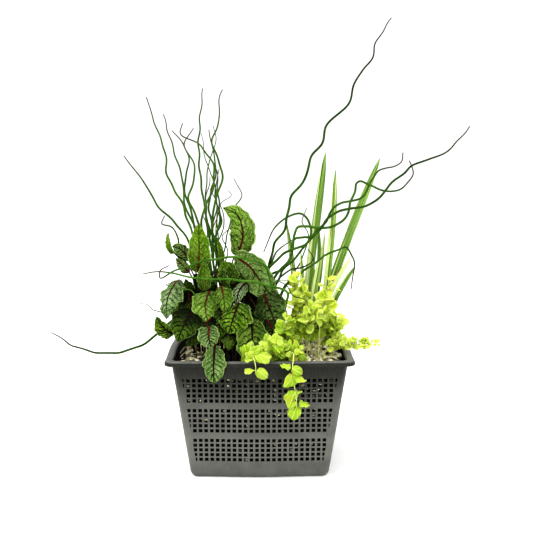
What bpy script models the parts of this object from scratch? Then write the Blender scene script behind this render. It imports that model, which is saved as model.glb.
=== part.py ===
"""A square mesh pond basket planted with marginal water plants.

The basket holds compost under a top dressing of pea gravel. Out of the gravel grow a corkscrew
rush in two clumps, a red-veined dock, a variegated iris and a golden creeping moneywort.
The basket stands on its underside, with the origin at the middle of that face and its front
towards -Y. All tables are in millimetres; Blender gets metres.
"""
import math

import bmesh
import bpy
import numpy as np
from mathutils import Matrix, Vector

MM = 0.001
TOUCH = 0.4
CAP_WELD = 0.00001

# Basket: half widths are at the middle of a side, which bulges past its corners.
HEIGHT = 152.0
RIM_HALF = 117.5
RIM_CORNER = 12.0
RIM_DEPTH = 6.0
WALL_TOP_HALF = 109.5
WALL_TOP_CORNER = 11.0
BASE_HALF = 89.0
BASE_CORNER = 11.0
BULGE = 3.0
WALL = 2.0
FLOOR = 3.0
LIP_ROUND = 1.2
LIP_DRAFT = 0.4
FOOT_ROUND = 1.5
ARC_POINTS = 5
SIDE_POINTS = 3

# Filling: the gravel is flat inside FLAT_SHARE of its width, and its lumps crest at LUMP_SHARE.
SOIL_TOP = 132.0
GRAVEL_TOP = 143.0
GRAVEL_EDGE = 140.5
LUMP_SHARE = 0.94
LUMP_MEAN = 1.5
LUMP_WAVES = ((2.2, 2.3, 0.0), (1.3, 5.1, 1.0))
FLAT_SHARE = 0.87

# Every plant stands on the gravel and leaves it upright.
STAND = GRAVEL_TOP + TOUCH
STRAIGHT_START = 5.0

# Rush stems: foot, then the bends that each stem passes through.
LEFT_RADIUS = 1.15
RIGHT_RADIUS = 1.5
TIP_SHARE = 0.3
TAPER_POWER = 1.5
RUSH_STEMS = {
    "rush_left_01": (LEFT_RADIUS, (-66, 48), [(-78, 45, 256), (-95, 51, 300), (-109, 56, 340),
        (-127, 59, 373), (-130, 57, 406), (-144, 53, 448), (-153, 50, 480)]),
    "rush_left_02": (LEFT_RADIUS, (-70, 41), [(-82, 36, 256), (-97, 31, 286), (-113, 25, 310),
        (-135, 21, 332), (-152, 24, 361), (-182, 30, 400)]),
    "rush_left_03": (LEFT_RADIUS, (-62, 53), [(-79, 56, 265), (-90, 60, 304), (-103, 64, 329),
        (-108, 70, 371), (-117, 68, 402), (-133, 66, 458)]),
    "rush_left_04": (LEFT_RADIUS, (-60, 44), [(-72, 41, 273), (-83, 39, 310), (-96, 36, 345),
        (-87, 36, 377), (-102, 39, 414), (-117, 40, 434)]),
    "rush_left_05": (LEFT_RADIUS, (-68, 57), [(-88, 64, 271), (-95, 70, 321), (-106, 79, 355),
        (-100, 82, 398), (-105, 84, 424), (-92, 85, 441)]),
    "rush_left_06": (LEFT_RADIUS, (-55, 46), [(-76, 48, 279), (-80, 47, 311), (-62, 42, 366),
        (-63, 37, 389), (-80, 30, 414), (-106, 23, 433), (-102, 20, 442)]),
    "rush_left_07": (LEFT_RADIUS, (-55, 56), [(-66, 58, 264), (-72, 62, 303), (-83, 74, 374),
        (-85, 74, 412), (-82, 72, 459), (-78, 70, 494)]),
    "rush_left_08": (LEFT_RADIUS, (-49, 44), [(-64, 44, 265), (-61, 34, 336), (-50, 31, 373),
        (-63, 32, 423), (-53, 34, 451), (-55, 35, 471), (-49, 36, 488)]),
    "rush_left_09": (LEFT_RADIUS, (-52, 64), [(-61, 68, 271), (-71, 87, 345), (-63, 91, 374),
        (-72, 95, 440)]),
    "rush_left_10": (LEFT_RADIUS, (-46, 53), [(-57, 53, 265), (-59, 57, 296), (-53, 60, 313),
        (-56, 62, 330), (-59, 64, 382)]),
    "rush_left_11": (LEFT_RADIUS, (-74, 50), [(-93, 46, 256), (-109, 38, 273), (-111, 31, 290),
        (-119, 28, 305), (-132, 26, 310), (-128, 25, 320)]),
    "rush_low_01": (LEFT_RADIUS, (-78, 28), [(-92, 12, 178), (-108, -4, 187), (-121, -14, 179),
        (-147, -38, 159), (-186, -55, 150), (-233, -52, 158), (-265, -40, 174)]),
    "rush_cross_01": (LEFT_RADIUS, (4, -8), [(15, -27, 232), (8, -30, 256), (-21, -32, 268),
        (-64, -37, 266), (-107, -43, 253), (-127, -44, 245), (-126, -45, 252), (-114, -46, 260)]),
    "rush_cross_02": (LEFT_RADIUS, (24, -10), [(33, -30, 204), (36, -37, 222), (10, -46, 235),
        (-31, -56, 243), (-75, -58, 245), (-132, -55, 253), (-146, -52, 250)]),
    "rush_right_01": (RIGHT_RADIUS, (-2, 28), [(12, 25, 244), (20, 25, 281), (34, 27, 303),
        (42, 30, 343), (64, 35, 375), (69, 37, 398), (85, 40, 418), (90, 41, 440), (120, 43, 470),
        (131, 45, 504), (151, 47, 530), (157, 48, 551), (178, 50, 585)]),
    "rush_right_02": (RIGHT_RADIUS, (6, 15), [(22, 14, 261), (33, 13, 270), (47, 12, 277), (61, 11, 282),
        (71, 9, 293), (83, 8, 306), (91, 6, 318), (103, 4, 326), (118, 2, 330), (140, -2, 334),
        (152, -6, 341), (164, -10, 355), (175, -14, 368), (188, -17, 378), (194, -19, 384),
        (235, -21, 401), (255, -21, 419), (267, -20, 435)]),
    "rush_right_03": (RIGHT_RADIUS, (8, 22), [(28, 20, 248), (39, 19, 259), (44, 19, 275), (47, 18, 295),
        (51, 18, 305), (62, 18, 306), (84, 17, 304), (98, 16, 306), (111, 15, 314), (118, 14, 326),
        (122, 12, 340), (125, 9, 352), (128, 7, 363), (133, 5, 366), (143, 3, 362), (157, 0, 355),
        (171, -3, 353), (184, -5, 356), (193, -7, 364), (199, -8, 375), (197, -9, 384), (194, -9, 392)]),
    "rush_right_04": (RIGHT_RADIUS, (0, 36), [(20, 36, 242), (33, 37, 247), (41, 38, 257), (44, 39, 269),
        (45, 39, 280), (49, 40, 288), (59, 41, 290), (71, 40, 291), (79, 38, 300), (91, 37, 312),
        (96, 35, 323), (102, 33, 332), (110, 30, 337), (125, 26, 340), (136, 22, 344), (143, 19, 353),
        (150, 16, 369), (156, 14, 379), (167, 12, 383), (178, 9, 386), (186, 7, 392), (189, 5, 403)]),
    "rush_arch_01": (RIGHT_RADIUS, (12, 40), [(32, 46, 243), (60, 52, 273), (72, 54, 300),
        (57, 50, 322), (39, 46, 318), (21, 43, 303), (6, 40, 270)]),
    "rush_arch_02": (LEFT_RADIUS, (18, 12), [(34, 8, 226), (60, 0, 249), (102, -10, 277),
        (113, -9, 280), (122, -8, 267), (121, -5, 225)]),
}
SHORT_SPAN = 60.0

# Dock leaves: full width, the way across the blade, the stalk from the gravel up, then the blade.
LEAF_THICKNESS = 1.0
STALK_HALF = 1.1
STALK_ROWS = 4
DOCK_OUTLINE = ((0.0, 0.14), (0.1, 0.66), (0.26, 0.97), (0.46, 1.0), (0.66, 0.8), (0.86, 0.42), (1.0, 0.07))
DOCK_FOLD = 14.0
DOCK_LEAVES = {
    "dock_leaf_01": (30, (1, 0.1, 0), [(-76, -6)], [(-80, -10, 247), (-79, -8, 278), (-80, -2, 311)]),
    "dock_leaf_02": (37, (0.9, -0.3, 0.3), [(-32, 11)], [(-29, 11, 266), (-22, 11, 298), (-30, 14, 322),
        (-49, 18, 331)]),
    "dock_leaf_03": (22, (0.5, -0.3, 0.8), [(-86, 10)], [(-93, 9, 262), (-104, 12, 275),
        (-117, 17, 280)]),
    "dock_leaf_04": (15, (0.6, -0.3, 0.7), [(-84, -1)], [(-93, 0, 246), (-111, 3, 265)]),
    "dock_leaf_05": (36, (0.9, -0.45, 0.2), [(-86, -18), (-94, -20, 222)], [(-103, -24, 239),
        (-117, -34, 218), (-119, -44, 191)]),
    "dock_leaf_06": (24, (0.6, -0.4, 0.6), [(-84, -34), (-96, -38, 166)], [(-109, -42, 172),
        (-121, -47, 181), (-130, -50, 196)]),
    "dock_leaf_07": (42, (0.85, -0.4, -0.4), [(-70, -42), (-76, -50, 194)], [(-82, -58, 203),
        (-93, -70, 189), (-101, -76, 169)]),
    "dock_leaf_08": (37, (1, 0.1, 0.1), [(-60, -32), (-60, -38, 214)], [(-62, -44, 227), (-68, -60, 212),
        (-64, -68, 190)]),
    "dock_leaf_09": (25, (1, -0.2, 0), [(-48, -34), (-50, -42, 226)], [(-49, -48, 234), (-45, -60, 222),
        (-43, -66, 203)]),
    "dock_leaf_10": (17, (0.8, -0.3, -0.5), [(-18, -32), (-14, -36, 226)], [(-16, -42, 237),
        (-25, -53, 230), (-30, -57, 212)]),
    "dock_leaf_11": (43, (1, -0.1, 0.3), [(-28, -46), (-24, -54, 206)], [(-25, -60, 214), (-32, -76, 199),
        (-38, -82, 180)]),
    "dock_leaf_12": (41, (1, 0, 0), [(-12, -48), (-10, -54, 186)], [(-10, -62, 195), (-9, -84, 175),
        (-6, -95, 147)]),
    "dock_leaf_13": (42, (0.9, -0.2, 0.35), [(0, -22), (2, -24, 210)], [(4, -28, 220), (13, -44, 204),
        (24, -54, 173)]),
    "dock_leaf_14": (42, (0.7, 0.35, 0.5), [(-24, -4), (-36, -6, 254)], [(-34, -6, 266), (-15, -10, 256),
        (5, -13, 230), (27, -17, 202)]),
    "dock_leaf_15": (23, (1, 0, 0.1), [(-64, -60), (-65, -78, 182)], [(-62, -88, 189), (-61, -100, 180),
        (-58, -104, 167)]),
    "dock_leaf_16": (30, (1, -0.1, 0), [(-48, -66), (-51, -90, 166)], [(-53, -106, 171), (-54, -122, 154),
        (-54, -123, 128)]),
    "dock_leaf_17": (18, (1, 0, 0), [(-36, -56), (-40, -60, 172)], [(-40, -66, 176), (-38, -80, 170),
        (-38, -86, 160)]),
    "dock_leaf_18": (19, (1, 0.1, 0), [(-68, -18)], [(-71, -24, 225), (-72, -20, 242), (-71, -15, 261)]),
    "dock_leaf_19": (28, (1, 0.2, 0), [(-40, -16)], [(-41, -20, 233), (-42, -19, 249), (-48, -14, 263)]),
    "dock_leaf_20": (27, (0.7, 0.7, 0), [(-82, 30), (-92, 36, 190)], [(-99, 42, 203), (-110, 54, 196),
        (-116, 63, 178)]),
}

# Iris blades: full width, the way across the blade, then foot and bends.
IRIS_FOLD = 8.0
IRIS_OUTLINE = ((0.0, 0.7), (0.15, 0.85), (0.35, 0.97), (0.55, 1.0), (0.75, 0.94), (0.9, 0.58), (1.0, 0.07))
IRIS_BLADES = {
    "iris_blade_01": (12, (1, 0.2, 0), [(66, 52), (69, 56, 232), (80, 60, 320), (92, 66, 407)]),
    "iris_blade_02": (8, (1, -0.2, 0), [(84, 44), (94, 46, 234), (101, 49, 310), (105, 52, 383)]),
    "iris_blade_03": (12, (1, 0.1, 0), [(77, 56), (101, 62, 223), (135, 70, 315), (170, 78, 400)]),
    "iris_blade_04": (7, (1, 0.3, 0), [(52, 56), (47, 60, 241), (42, 61, 280), (37, 60, 312)]),
    "iris_blade_05": (7.5, (1, 0.2, 0), [(72, 68), (84, 74, 231), (85, 78, 298)]),
    "iris_blade_06": (7.5, (1, -0.1, 0), [(83, 36), (101, 36, 222), (126, 40, 263)]),
    "iris_blade_07": (8.5, (1, -0.2, 0), [(84, 22), (103, 23, 208), (130, 26, 252)]),
    "iris_blade_08": (8, (1, 0, 0), [(66, 38), (70, 36, 207), (75, 40, 256)]),
}

# Moneywort shoots: leaf radius, first pair's share of the length, pairs, whether the pairs lie flat
# in one plane, then foot and bends. A shoot is steep where its way is this near to upright.
STEEP = 0.9
SHOOT_RADIUS = 1.1
SHOOT_TIP_SHARE = 0.7
SHOOT_LEAF_THICKNESS = 0.9
SHOOT_LEAF_SIDES = 6
SHOOT_LEAF_RISE = 25.0
SHOOT_LEAF_DROOP = 0.2
SHOOT_LEAF_TURN = 20.0
SHOOT_LEAF_STALK = 0.25
LAST_PAIR_BACK = 0.4
LAST_PAIR_SIZE = 0.65
MONEYWORT_SHOOTS = {
    "moneywort_01": (8.5, 0.42, 5, False, [(48, -8), (52, -6, 190), (50, 0, 242)]),
    "moneywort_02": (8.5, 0.35, 5, False, [(76, -22), (80, -20, 190), (85, -17, 214), (91, -14, 236)]),
    "moneywort_03": (8, 0.3, 4, False, [(60, -50), (64, -53, 175), (68, -56, 212)]),
    "moneywort_04": (7.5, 0.3, 4, False, [(34, -52), (31, -62, 170), (32, -70, 198)]),
    "moneywort_05": (7.5, 0.25, 7, False, [(80, -62), (92, -66, 160), (108, -70, 165), (126, -74, 165),
        (146, -76, 167)]),
    "moneywort_06": (7.5, 0.3, 6, True, [(34, -84), (38, -99, 160), (40, -113, 160), (38, -124, 146),
        (41, -127, 122), (43, -127, 105), (41, -127, 90)]),
    "moneywort_07": (6.5, 0.35, 4, True, [(-17, -86), (-15, -101, 158), (-9, -114, 160),
        (-5, -124, 149), (-5, -125, 136)]),
    "moneywort_08": (7, 0.35, 4, False, [(20, -72), (20, -90, 162), (13, -103, 169), (4, -110, 169)]),
    "moneywort_09": (8.5, 0.35, 3, False, [(92, -42), (95, -44, 172), (98, -42, 196)]),
}

COLOURS = {
    "basket": ((0.15, 0.15, 0.135), 0.5),
    "soil": ((0.015, 0.01, 0.007), 0.95),
    "gravel": ((0.42, 0.38, 0.29), 0.8),
    "rush": ((0.06, 0.2, 0.04), 0.45),
    "dock": ((0.13, 0.3, 0.04), 0.5),
    "iris": ((0.25, 0.45, 0.1), 0.45),
    "moneywort": ((0.5, 0.68, 0.06), 0.5),
}


def material(name, kind):
    """A plain Principled material in the colour of one kind of piece."""
    colour, roughness = COLOURS[kind]
    made = bpy.data.materials.new(name)
    made.use_nodes = True
    shader = made.node_tree.nodes["Principled BSDF"]
    shader.inputs["Base Color"].default_value = (*colour, 1.0)
    shader.inputs["Roughness"].default_value = roughness
    shader.inputs["Metallic"].default_value = 0.0
    return made


def add_object(name, data, kind, collection):
    """Put a mesh or curve in the scene as one named piece with its own material."""
    piece = bpy.data.objects.new(name, data)
    data.materials.append(material(name, kind))
    collection.objects.link(piece)
    return piece


def mesh_from(bm, name):
    """Turn the working mesh into a mesh in metres, its faces pointing out."""
    bmesh.ops.recalc_face_normals(bm, faces=bm.faces)
    bmesh.ops.scale(bm, vec=(MM, MM, MM), verts=bm.verts)
    mesh = bpy.data.meshes.new(name)
    bm.to_mesh(mesh)
    bm.free()
    return mesh


def square_ring(half, corner, z):
    """Rounded square whose sides bulge: arcs at the corners, a shallow parabola along each side."""
    reach = half - BULGE
    points = []
    for quarter in range(4):
        turn = Matrix.Rotation(math.radians(90 * quarter), 2)
        centre = Vector((reach - corner, reach - corner))
        for step in range(ARC_POINTS):
            angle = math.radians(90 * step / (ARC_POINTS - 1))
            points.append(turn @ (centre + corner * Vector((math.cos(angle), math.sin(angle)))))
        for step in range(1, SIDE_POINTS + 1):
            share = 2 * step / (SIDE_POINTS + 1) - 1
            along = -share * (reach - corner)
            points.append(turn @ Vector((along, reach + BULGE * (1 - share * share))))
    return [(point.x, point.y, z) for point in points]


def loft(rings):
    """Closed solid through rings of equal point counts, with a flat cap on the first and last."""
    bm = bmesh.new()
    rows = [[bm.verts.new(point) for point in ring] for ring in rings]
    for below, above in zip(rows, rows[1:]):
        for i in range(len(below)):
            j = (i + 1) % len(below)
            bm.faces.new((below[i], below[j], above[j], above[i]))
    bm.faces.new(rows[0][::-1])
    bm.faces.new(rows[-1])
    return bm


def wall_ring(z, inset):
    """The wall's outline at one height, moved in from its outer face."""
    share = z / (HEIGHT - RIM_DEPTH)
    half = BASE_HALF + share * (WALL_TOP_HALF - BASE_HALF)
    corner = BASE_CORNER + share * (WALL_TOP_CORNER - BASE_CORNER)
    return square_ring(half - inset, corner - inset, z)


def make_basket(collection):
    """Moulded tub: tapered wall, flat floor and a lip rolled out round the top."""
    under_lip = HEIGHT - RIM_DEPTH
    bm = loft([
        square_ring(BASE_HALF - FOOT_ROUND, BASE_CORNER - FOOT_ROUND, 0.0),
        wall_ring(FOOT_ROUND, 0.0),
        wall_ring(under_lip, 0.0),
        square_ring(RIM_HALF - LIP_ROUND, RIM_CORNER - LIP_ROUND, under_lip),
        square_ring(RIM_HALF, RIM_CORNER, under_lip + LIP_ROUND),
        square_ring(RIM_HALF - LIP_DRAFT, RIM_CORNER - LIP_DRAFT, HEIGHT - LIP_ROUND),
        square_ring(RIM_HALF - 2 * LIP_ROUND, RIM_CORNER - 2 * LIP_ROUND, HEIGHT),
        square_ring(WALL_TOP_HALF, WALL_TOP_CORNER, HEIGHT),
        square_ring(WALL_TOP_HALF - WALL, WALL_TOP_CORNER - WALL, HEIGHT - LIP_ROUND),
        wall_ring(under_lip, WALL),
        wall_ring(FLOOR, WALL),
    ])
    add_object("basket", mesh_from(bm, "basket"), "basket", collection)


def make_soil(collection):
    """Block of compost that fills the tub."""
    inset = WALL + TOUCH
    bm = loft([wall_ring(FLOOR + TOUCH, inset), wall_ring(SOIL_TOP, inset)])
    add_object("soil", mesh_from(bm, "soil"), "soil", collection)


def make_gravel(collection):
    """Layer of gravel: flat where the plants stand, lumpy round the edge."""
    inset = WALL + TOUCH
    edge = wall_ring(GRAVEL_EDGE, inset)
    lumps = []
    for i, (x, y, _) in enumerate(edge):
        rise = sum(height * math.sin(rate * i + start) for height, rate, start in LUMP_WAVES)
        lumps.append((x * LUMP_SHARE, y * LUMP_SHARE, GRAVEL_TOP + LUMP_MEAN + rise))
    flat = [(x * FLAT_SHARE, y * FLAT_SHARE, GRAVEL_TOP) for x, y, _ in edge]
    bm = loft([wall_ring(SOIL_TOP + TOUCH, inset), edge, lumps, flat])
    add_object("gravel", mesh_from(bm, "gravel"), "gravel", collection)


def rooted(foot, bends):
    """Knots of a stem that leaves the gravel upright."""
    x, y = foot
    return [(x, y, STAND), (x, y, STAND + STRAIGHT_START)] + list(bends)


def distances(knots):
    """Straight-line distance along the knots, starting at nought."""
    steps = np.linalg.norm(np.diff(np.array(knots, float), axis=0), axis=1)
    return np.concatenate([[0.0], np.cumsum(steps)])


def along(knots, where):
    """Points on the smooth cubic through the knots, at the given distances along them."""
    knots = np.array(knots, float)
    marks = distances(knots)
    slopes = np.gradient(knots, marks, axis=0)
    span = np.clip(np.searchsorted(marks, where, side="right") - 1, 0, len(marks) - 2)
    length = (marks[span + 1] - marks[span])[:, None]
    t = (np.asarray(where)[:, None] - marks[span][:, None]) / length
    start = (1 + 2 * t) * (1 - t) ** 2 * knots[span] + t * (1 - t) ** 2 * length * slopes[span]
    end = t * t * (3 - 2 * t) * knots[span + 1] - t * t * (1 - t) * length * slopes[span + 1]
    return start + end


def stops(knots):
    """Distances to sample a stem at: each knot, and one or two places between it and the next."""
    marks = distances(knots)
    inner = [np.linspace(a, b, 4 if b - a > SHORT_SPAN else 3)[1:] for a, b in zip(marks[1:], marks[2:])]
    return np.concatenate([marks[:2], *inner])


def stem_curve(name, knots, radius, tip_share):
    """Tapered tube along the smooth curve through the knots."""
    where = stops(knots)
    points = along(knots, where)
    count = len(points)
    curve = bpy.data.curves.new(name, "CURVE")
    curve.dimensions = "3D"
    curve.bevel_depth = radius * MM
    curve.bevel_resolution = 0
    curve.use_fill_caps = True
    spline = curve.splines.new("POLY")
    spline.points.add(count - 1)
    for i, point in enumerate(points):
        spline.points[i].co = (*(point * MM), 1.0)
        spline.points[i].radius = 1 - (1 - tip_share) * (where[i] / where[-1]) ** TAPER_POWER
    return curve


def make_rush(collection):
    """One tapered, twisting stem for each entry in the table."""
    for name, (radius, foot, bends) in RUSH_STEMS.items():
        curve = stem_curve(name, rooted(foot, bends), radius, TIP_SHARE)
        add_object(name, curve, "rush", collection)


def ribbon(name, kind, knots, where, halves, across, fold, collection):
    """A leaf: three lines of points along a smooth curve, folded up along the middle one."""
    centres = along(knots, where)
    tangents = np.gradient(centres, axis=0)
    tangents /= np.linalg.norm(tangents, axis=1)[:, None]
    sides = np.array(across, float) - (tangents @ np.array(across, float))[:, None] * tangents
    sides /= np.linalg.norm(sides, axis=1)[:, None]
    normals = np.cross(sides, tangents)
    lean = math.radians(fold)
    bm = bmesh.new()
    rows = []
    for centre, side, normal, half in zip(centres, sides, normals, halves):
        lift = normal * half * math.sin(lean)
        reach = side * half * math.cos(lean)
        rows.append([bm.verts.new(p) for p in (centre - reach + lift, centre, centre + reach + lift)])
    for below, above in zip(rows, rows[1:]):
        for i in range(2):
            bm.faces.new((below[i], below[i + 1], above[i + 1], above[i]))
    bmesh.ops.scale(bm, vec=(MM, MM, MM), verts=bm.verts)
    mesh = bpy.data.meshes.new(name)
    bm.to_mesh(mesh)
    bm.free()
    piece = add_object(name, mesh, kind, collection)
    skin = piece.modifiers.new("thickness", "SOLIDIFY")
    skin.thickness = LEAF_THICKNESS * MM
    skin.offset = 0.0


def make_dock(collection):
    """Stalk and blade of each dock leaf, in one ribbon."""
    shares, widths = np.array(DOCK_OUTLINE).T
    for name, (width, across, stalk, blade) in DOCK_LEAVES.items():
        knots = rooted(stalk[0], stalk[1:] + blade)
        marks = distances(knots)
        blade_start = marks[-len(blade)]
        stalk_marks = np.linspace(STRAIGHT_START, blade_start, STALK_ROWS, endpoint=False)
        where = np.concatenate([[0.0], stalk_marks, blade_start + shares * (marks[-1] - blade_start)])
        stalk_halves = np.full(STALK_ROWS + 1, STALK_HALF)
        halves = np.concatenate([stalk_halves, np.maximum(widths * width / 2, STALK_HALF)])
        ribbon(name, "dock", knots, where, halves, across, DOCK_FOLD, collection)


def make_iris(collection):
    """Sword blades in a loose fan."""
    shares, widths = np.array(IRIS_OUTLINE).T
    for name, (width, across, route) in IRIS_BLADES.items():
        knots = rooted(route[0], route[1:])
        where = shares * distances(knots)[-1]
        where = np.insert(where, 1, STRAIGHT_START)
        halves = np.insert(widths, 0, widths[0]) * width / 2
        ribbon(name, "iris", knots, where, halves, across, IRIS_FOLD, collection)


def leaf_plates(knots, radius, first, pairs, flat):
    """Opposite pairs of round leaf plates along a shoot, each pair a quarter turn on from the last."""
    total = distances(knots)[-1]
    where = np.linspace(first * total, total - LAST_PAIR_BACK * radius, pairs)
    points = along(knots, where)
    ahead = along(knots, np.minimum(where + 1, total))
    behind = along(knots, where - 1)
    bm = bmesh.new()
    for i, point in enumerate(points):
        stem_way = Vector(ahead[i] - behind[i]).normalized()
        upright = abs(stem_way.z) > STEEP
        level = stem_way.cross(Vector((0, -1, 0)) if upright else Vector((0, 0, 1))).normalized()
        size = radius * (1 - (1 - LAST_PAIR_SIZE) * i / (pairs - 1))
        for side in (1, -1):
            if flat:
                long_way = (Vector((side, 0, 0)) - SHOOT_LEAF_DROOP * stem_way).normalized()
                wide_way = stem_way
            else:
                turn = math.radians(SHOOT_LEAF_TURN + 90 * (i % 2))
                rise = math.radians(SHOOT_LEAF_RISE)
                out = Matrix.Rotation(turn, 3, stem_way) @ level * side
                long_way = out * math.cos(rise) + stem_way * math.sin(rise)
                wide_way = stem_way.cross(out)
            wide_way = (wide_way - wide_way.dot(long_way) * long_way).normalized()
            frame = Matrix((wide_way, long_way, wide_way.cross(long_way))).transposed().to_4x4()
            centre = Vector(point) + long_way * (size + SHOOT_LEAF_STALK)
            bmesh.ops.create_cone(bm, cap_ends=True, segments=SHOOT_LEAF_SIDES, radius1=size, radius2=size,
                                  depth=SHOOT_LEAF_THICKNESS, matrix=Matrix.Translation(centre) @ frame)
    return mesh_from(bm, "leaf_plates")


def make_moneywort(collection, cutters):
    """Creeping shoots: a thin stem with its leaf pairs joined to it."""
    for name, (radius, first, pairs, flat, route) in MONEYWORT_SHOOTS.items():
        knots = rooted(route[0], route[1:])
        curve = stem_curve(name + "_stem", knots, SHOOT_RADIUS, SHOOT_TIP_SHARE)
        stem = bpy.data.objects.new(name + "_stem", curve)
        collection.objects.link(stem)
        bpy.context.view_layer.update()
        evaluated = stem.evaluated_get(bpy.context.evaluated_depsgraph_get())
        mesh = bpy.data.meshes.new_from_object(evaluated)
        mesh.name = name
        bm = bmesh.new()
        bm.from_mesh(mesh)
        bmesh.ops.remove_doubles(bm, verts=bm.verts, dist=CAP_WELD)
        bmesh.ops.recalc_face_normals(bm, faces=bm.faces)
        bm.to_mesh(mesh)
        bm.free()
        bpy.data.objects.remove(stem)
        shoot = add_object(name, mesh, "moneywort", collection)
        leaves = bpy.data.objects.new(name + "_leaves", leaf_plates(knots, radius, first, pairs, flat))
        leaves.hide_render = True
        leaves.display_type = "WIRE"
        cutters.objects.link(leaves)
        join = shoot.modifiers.new("leaves", "BOOLEAN")
        join.operation = "UNION"
        join.solver = "EXACT"
        join.use_self = True
        join.object = leaves


def new_collection(name):
    """A collection under the scene's own."""
    made = bpy.data.collections.new(name)
    bpy.context.scene.collection.children.link(made)
    return made


def main():
    """Clear the scene and make every piece."""
    for old in list(bpy.data.objects):
        bpy.data.objects.remove(old)
    parts = new_collection("planted_pond_basket")
    cutters = new_collection("cutters")
    make_basket(parts)
    make_soil(parts)
    make_gravel(parts)
    make_rush(parts)
    make_dock(parts)
    make_iris(parts)
    make_moneywort(parts, cutters)


main()
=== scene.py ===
import math

import bpy
import numpy as np
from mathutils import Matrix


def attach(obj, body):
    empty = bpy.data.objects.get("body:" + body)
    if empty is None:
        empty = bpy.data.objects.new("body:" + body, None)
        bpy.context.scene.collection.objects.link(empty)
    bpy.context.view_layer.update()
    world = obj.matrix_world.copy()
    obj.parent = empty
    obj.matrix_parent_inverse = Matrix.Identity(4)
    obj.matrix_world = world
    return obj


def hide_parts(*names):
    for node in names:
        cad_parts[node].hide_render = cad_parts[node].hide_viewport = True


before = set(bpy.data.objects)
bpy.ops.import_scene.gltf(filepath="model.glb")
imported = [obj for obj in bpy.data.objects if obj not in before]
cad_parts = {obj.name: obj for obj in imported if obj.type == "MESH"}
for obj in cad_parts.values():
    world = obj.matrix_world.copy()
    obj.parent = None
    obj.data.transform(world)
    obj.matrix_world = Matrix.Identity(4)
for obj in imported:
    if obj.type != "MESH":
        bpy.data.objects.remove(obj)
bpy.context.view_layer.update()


# The basket is one moulding in grey polypropylene: four sides that taper and bow out, three bands of
# square holes pressed through each side, a plain floor, and a lip turned out and down so that the
# thin rim stays stiff. All shapes here are worked out in millimetres and written in metres.
MM = 0.001
UNDER_LIP = 146.0
LIP_HALF = 117.5
LIP_CORNER = 12.0
WALL_HALF = 109.5
WALL_CORNER = 11.0
FOOT_HALF = 89.0
FOOT_CORNER = 11.0
BOW = 3.0
WALL = 2.0
FOOT_ROUND = 4.5
HOLE = 4.1
HOLE_PITCH = 6.88
HOLES_FROM_MIDDLE = 14
HOLE_BANDS = ((24.6, 49.8), (62.6, 88.8), (101.4, 127.3))
ROWS_IN_BAND = 5
NARROWEST_HOLE = 0.6
LIMIT_AT_FLOOR = 75.4
LIMIT_SLOPE = 0.137
PLAIN_ROWS = (12.0, 17.0, 56.0, 95.0, 134.0, 140.0)
FLOOR_SHARES = (0.35, 0.7, 0.94)
EDGE_BEVEL = 0.25
CORNER_STATIONS = (97.2, 99.5, 101.8, 104.1)
LIP_PROFILE = ((107.7, 148.2), (107.9, 150.4), (108.8, 151.6), (110.2, 152.0), (112.8, 152.0),
               (115.0, 151.8), (116.7, 151.1), (117.5, 149.6), (117.5, 147.6), (117.3, 146.0))


def wall_at(height):
    """Half width and corner radius of the wall's outer face: both grow in a straight line with height."""
    share = height / UNDER_LIP
    return FOOT_HALF + share * (WALL_HALF - FOOT_HALF), FOOT_CORNER + share * (WALL_CORNER - FOOT_CORNER)


def side_reach(half, corner):
    """How far along a side its end lies from its middle: the straight part and half the corner's arc."""
    return half - BOW - corner + corner * np.pi / 4


def square_rings(half, corner, height, stations):
    """Rounded squares, one for each row. A station is a distance along a side from its middle. As far
    as the corner the point lies on the side, which bows out by the squared cosine of its share of
    the way; the rest of the distance goes round the corner's arc. Quarter turns give the other sides."""
    corner = corner[:, None]
    flat = half[:, None] - BOW - corner
    inside = np.clip(stations, -flat, flat)
    angle = (stations - inside) / corner
    x = inside + corner * np.sin(angle)
    y = -flat - corner * np.cos(angle) - BOW * np.cos(np.pi / 2 * inside / flat) ** 2
    z = np.broadcast_to(height[:, None], x.shape)
    sides = ((x, y), (-y, x), (-x, -y), (y, -x))
    return np.concatenate([np.stack([a, b, z], axis=2) for a, b in sides], axis=1)


def shrunk(ring, shares):
    """Copies of one ring, each drawn in towards the axis to its own share of the size."""
    return np.array(shares)[:, None, None] * ring[None]


def grid_quads(rows, columns):
    """Four neighbours on a grid make a face; the last column joins the first. A face points along
    the way of the columns crossed with the way of the rows."""
    index = np.arange(rows * columns).reshape(rows, columns)
    index = np.hstack([index, index[:, :1]])
    return np.stack([index[:-1, :-1], index[:-1, 1:], index[1:, 1:], index[1:, :-1]], axis=2)


def hole_edges(middles):
    """The two edges of each hole, half a hole either side of its middle."""
    return (np.asarray(middles)[:, None] + np.array([-HOLE / 2, HOLE / 2])).ravel()


def hole_limit(height):
    """How far from a side's middle a hole may reach: just round the start of the corner, in a straight
    line with height as far as the lip."""
    return LIMIT_AT_FLOOR + LIMIT_SLOPE * np.minimum(height, UNDER_LIP)


def side_stations(heights, halves, corners):
    """Where the grid's columns stand on one side, row by row. Up to the limit they are the holes' own
    edges, so the holes stand in upright columns; the first edge past it stands on the limit, and the
    rest are spread evenly by their share of what is left, as far as the middle of the corner."""
    middles = (np.arange(HOLES_FROM_MIDDLE) + 0.5) * HOLE_PITCH
    half_side = np.concatenate([[0.0], hole_edges(middles), CORNER_STATIONS])
    rows = []
    for limit, end in zip(hole_limit(heights), side_reach(halves, corners)):
        first = half_side[half_side >= limit][0]
        spread = limit + (half_side - first) * (end - limit) / (half_side[-1] - first)
        rows.append(np.where(half_side < first, half_side, spread))
    rows = np.array(rows)
    return np.hstack([-rows[:, :0:-1], rows[:, :-1]])


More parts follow.
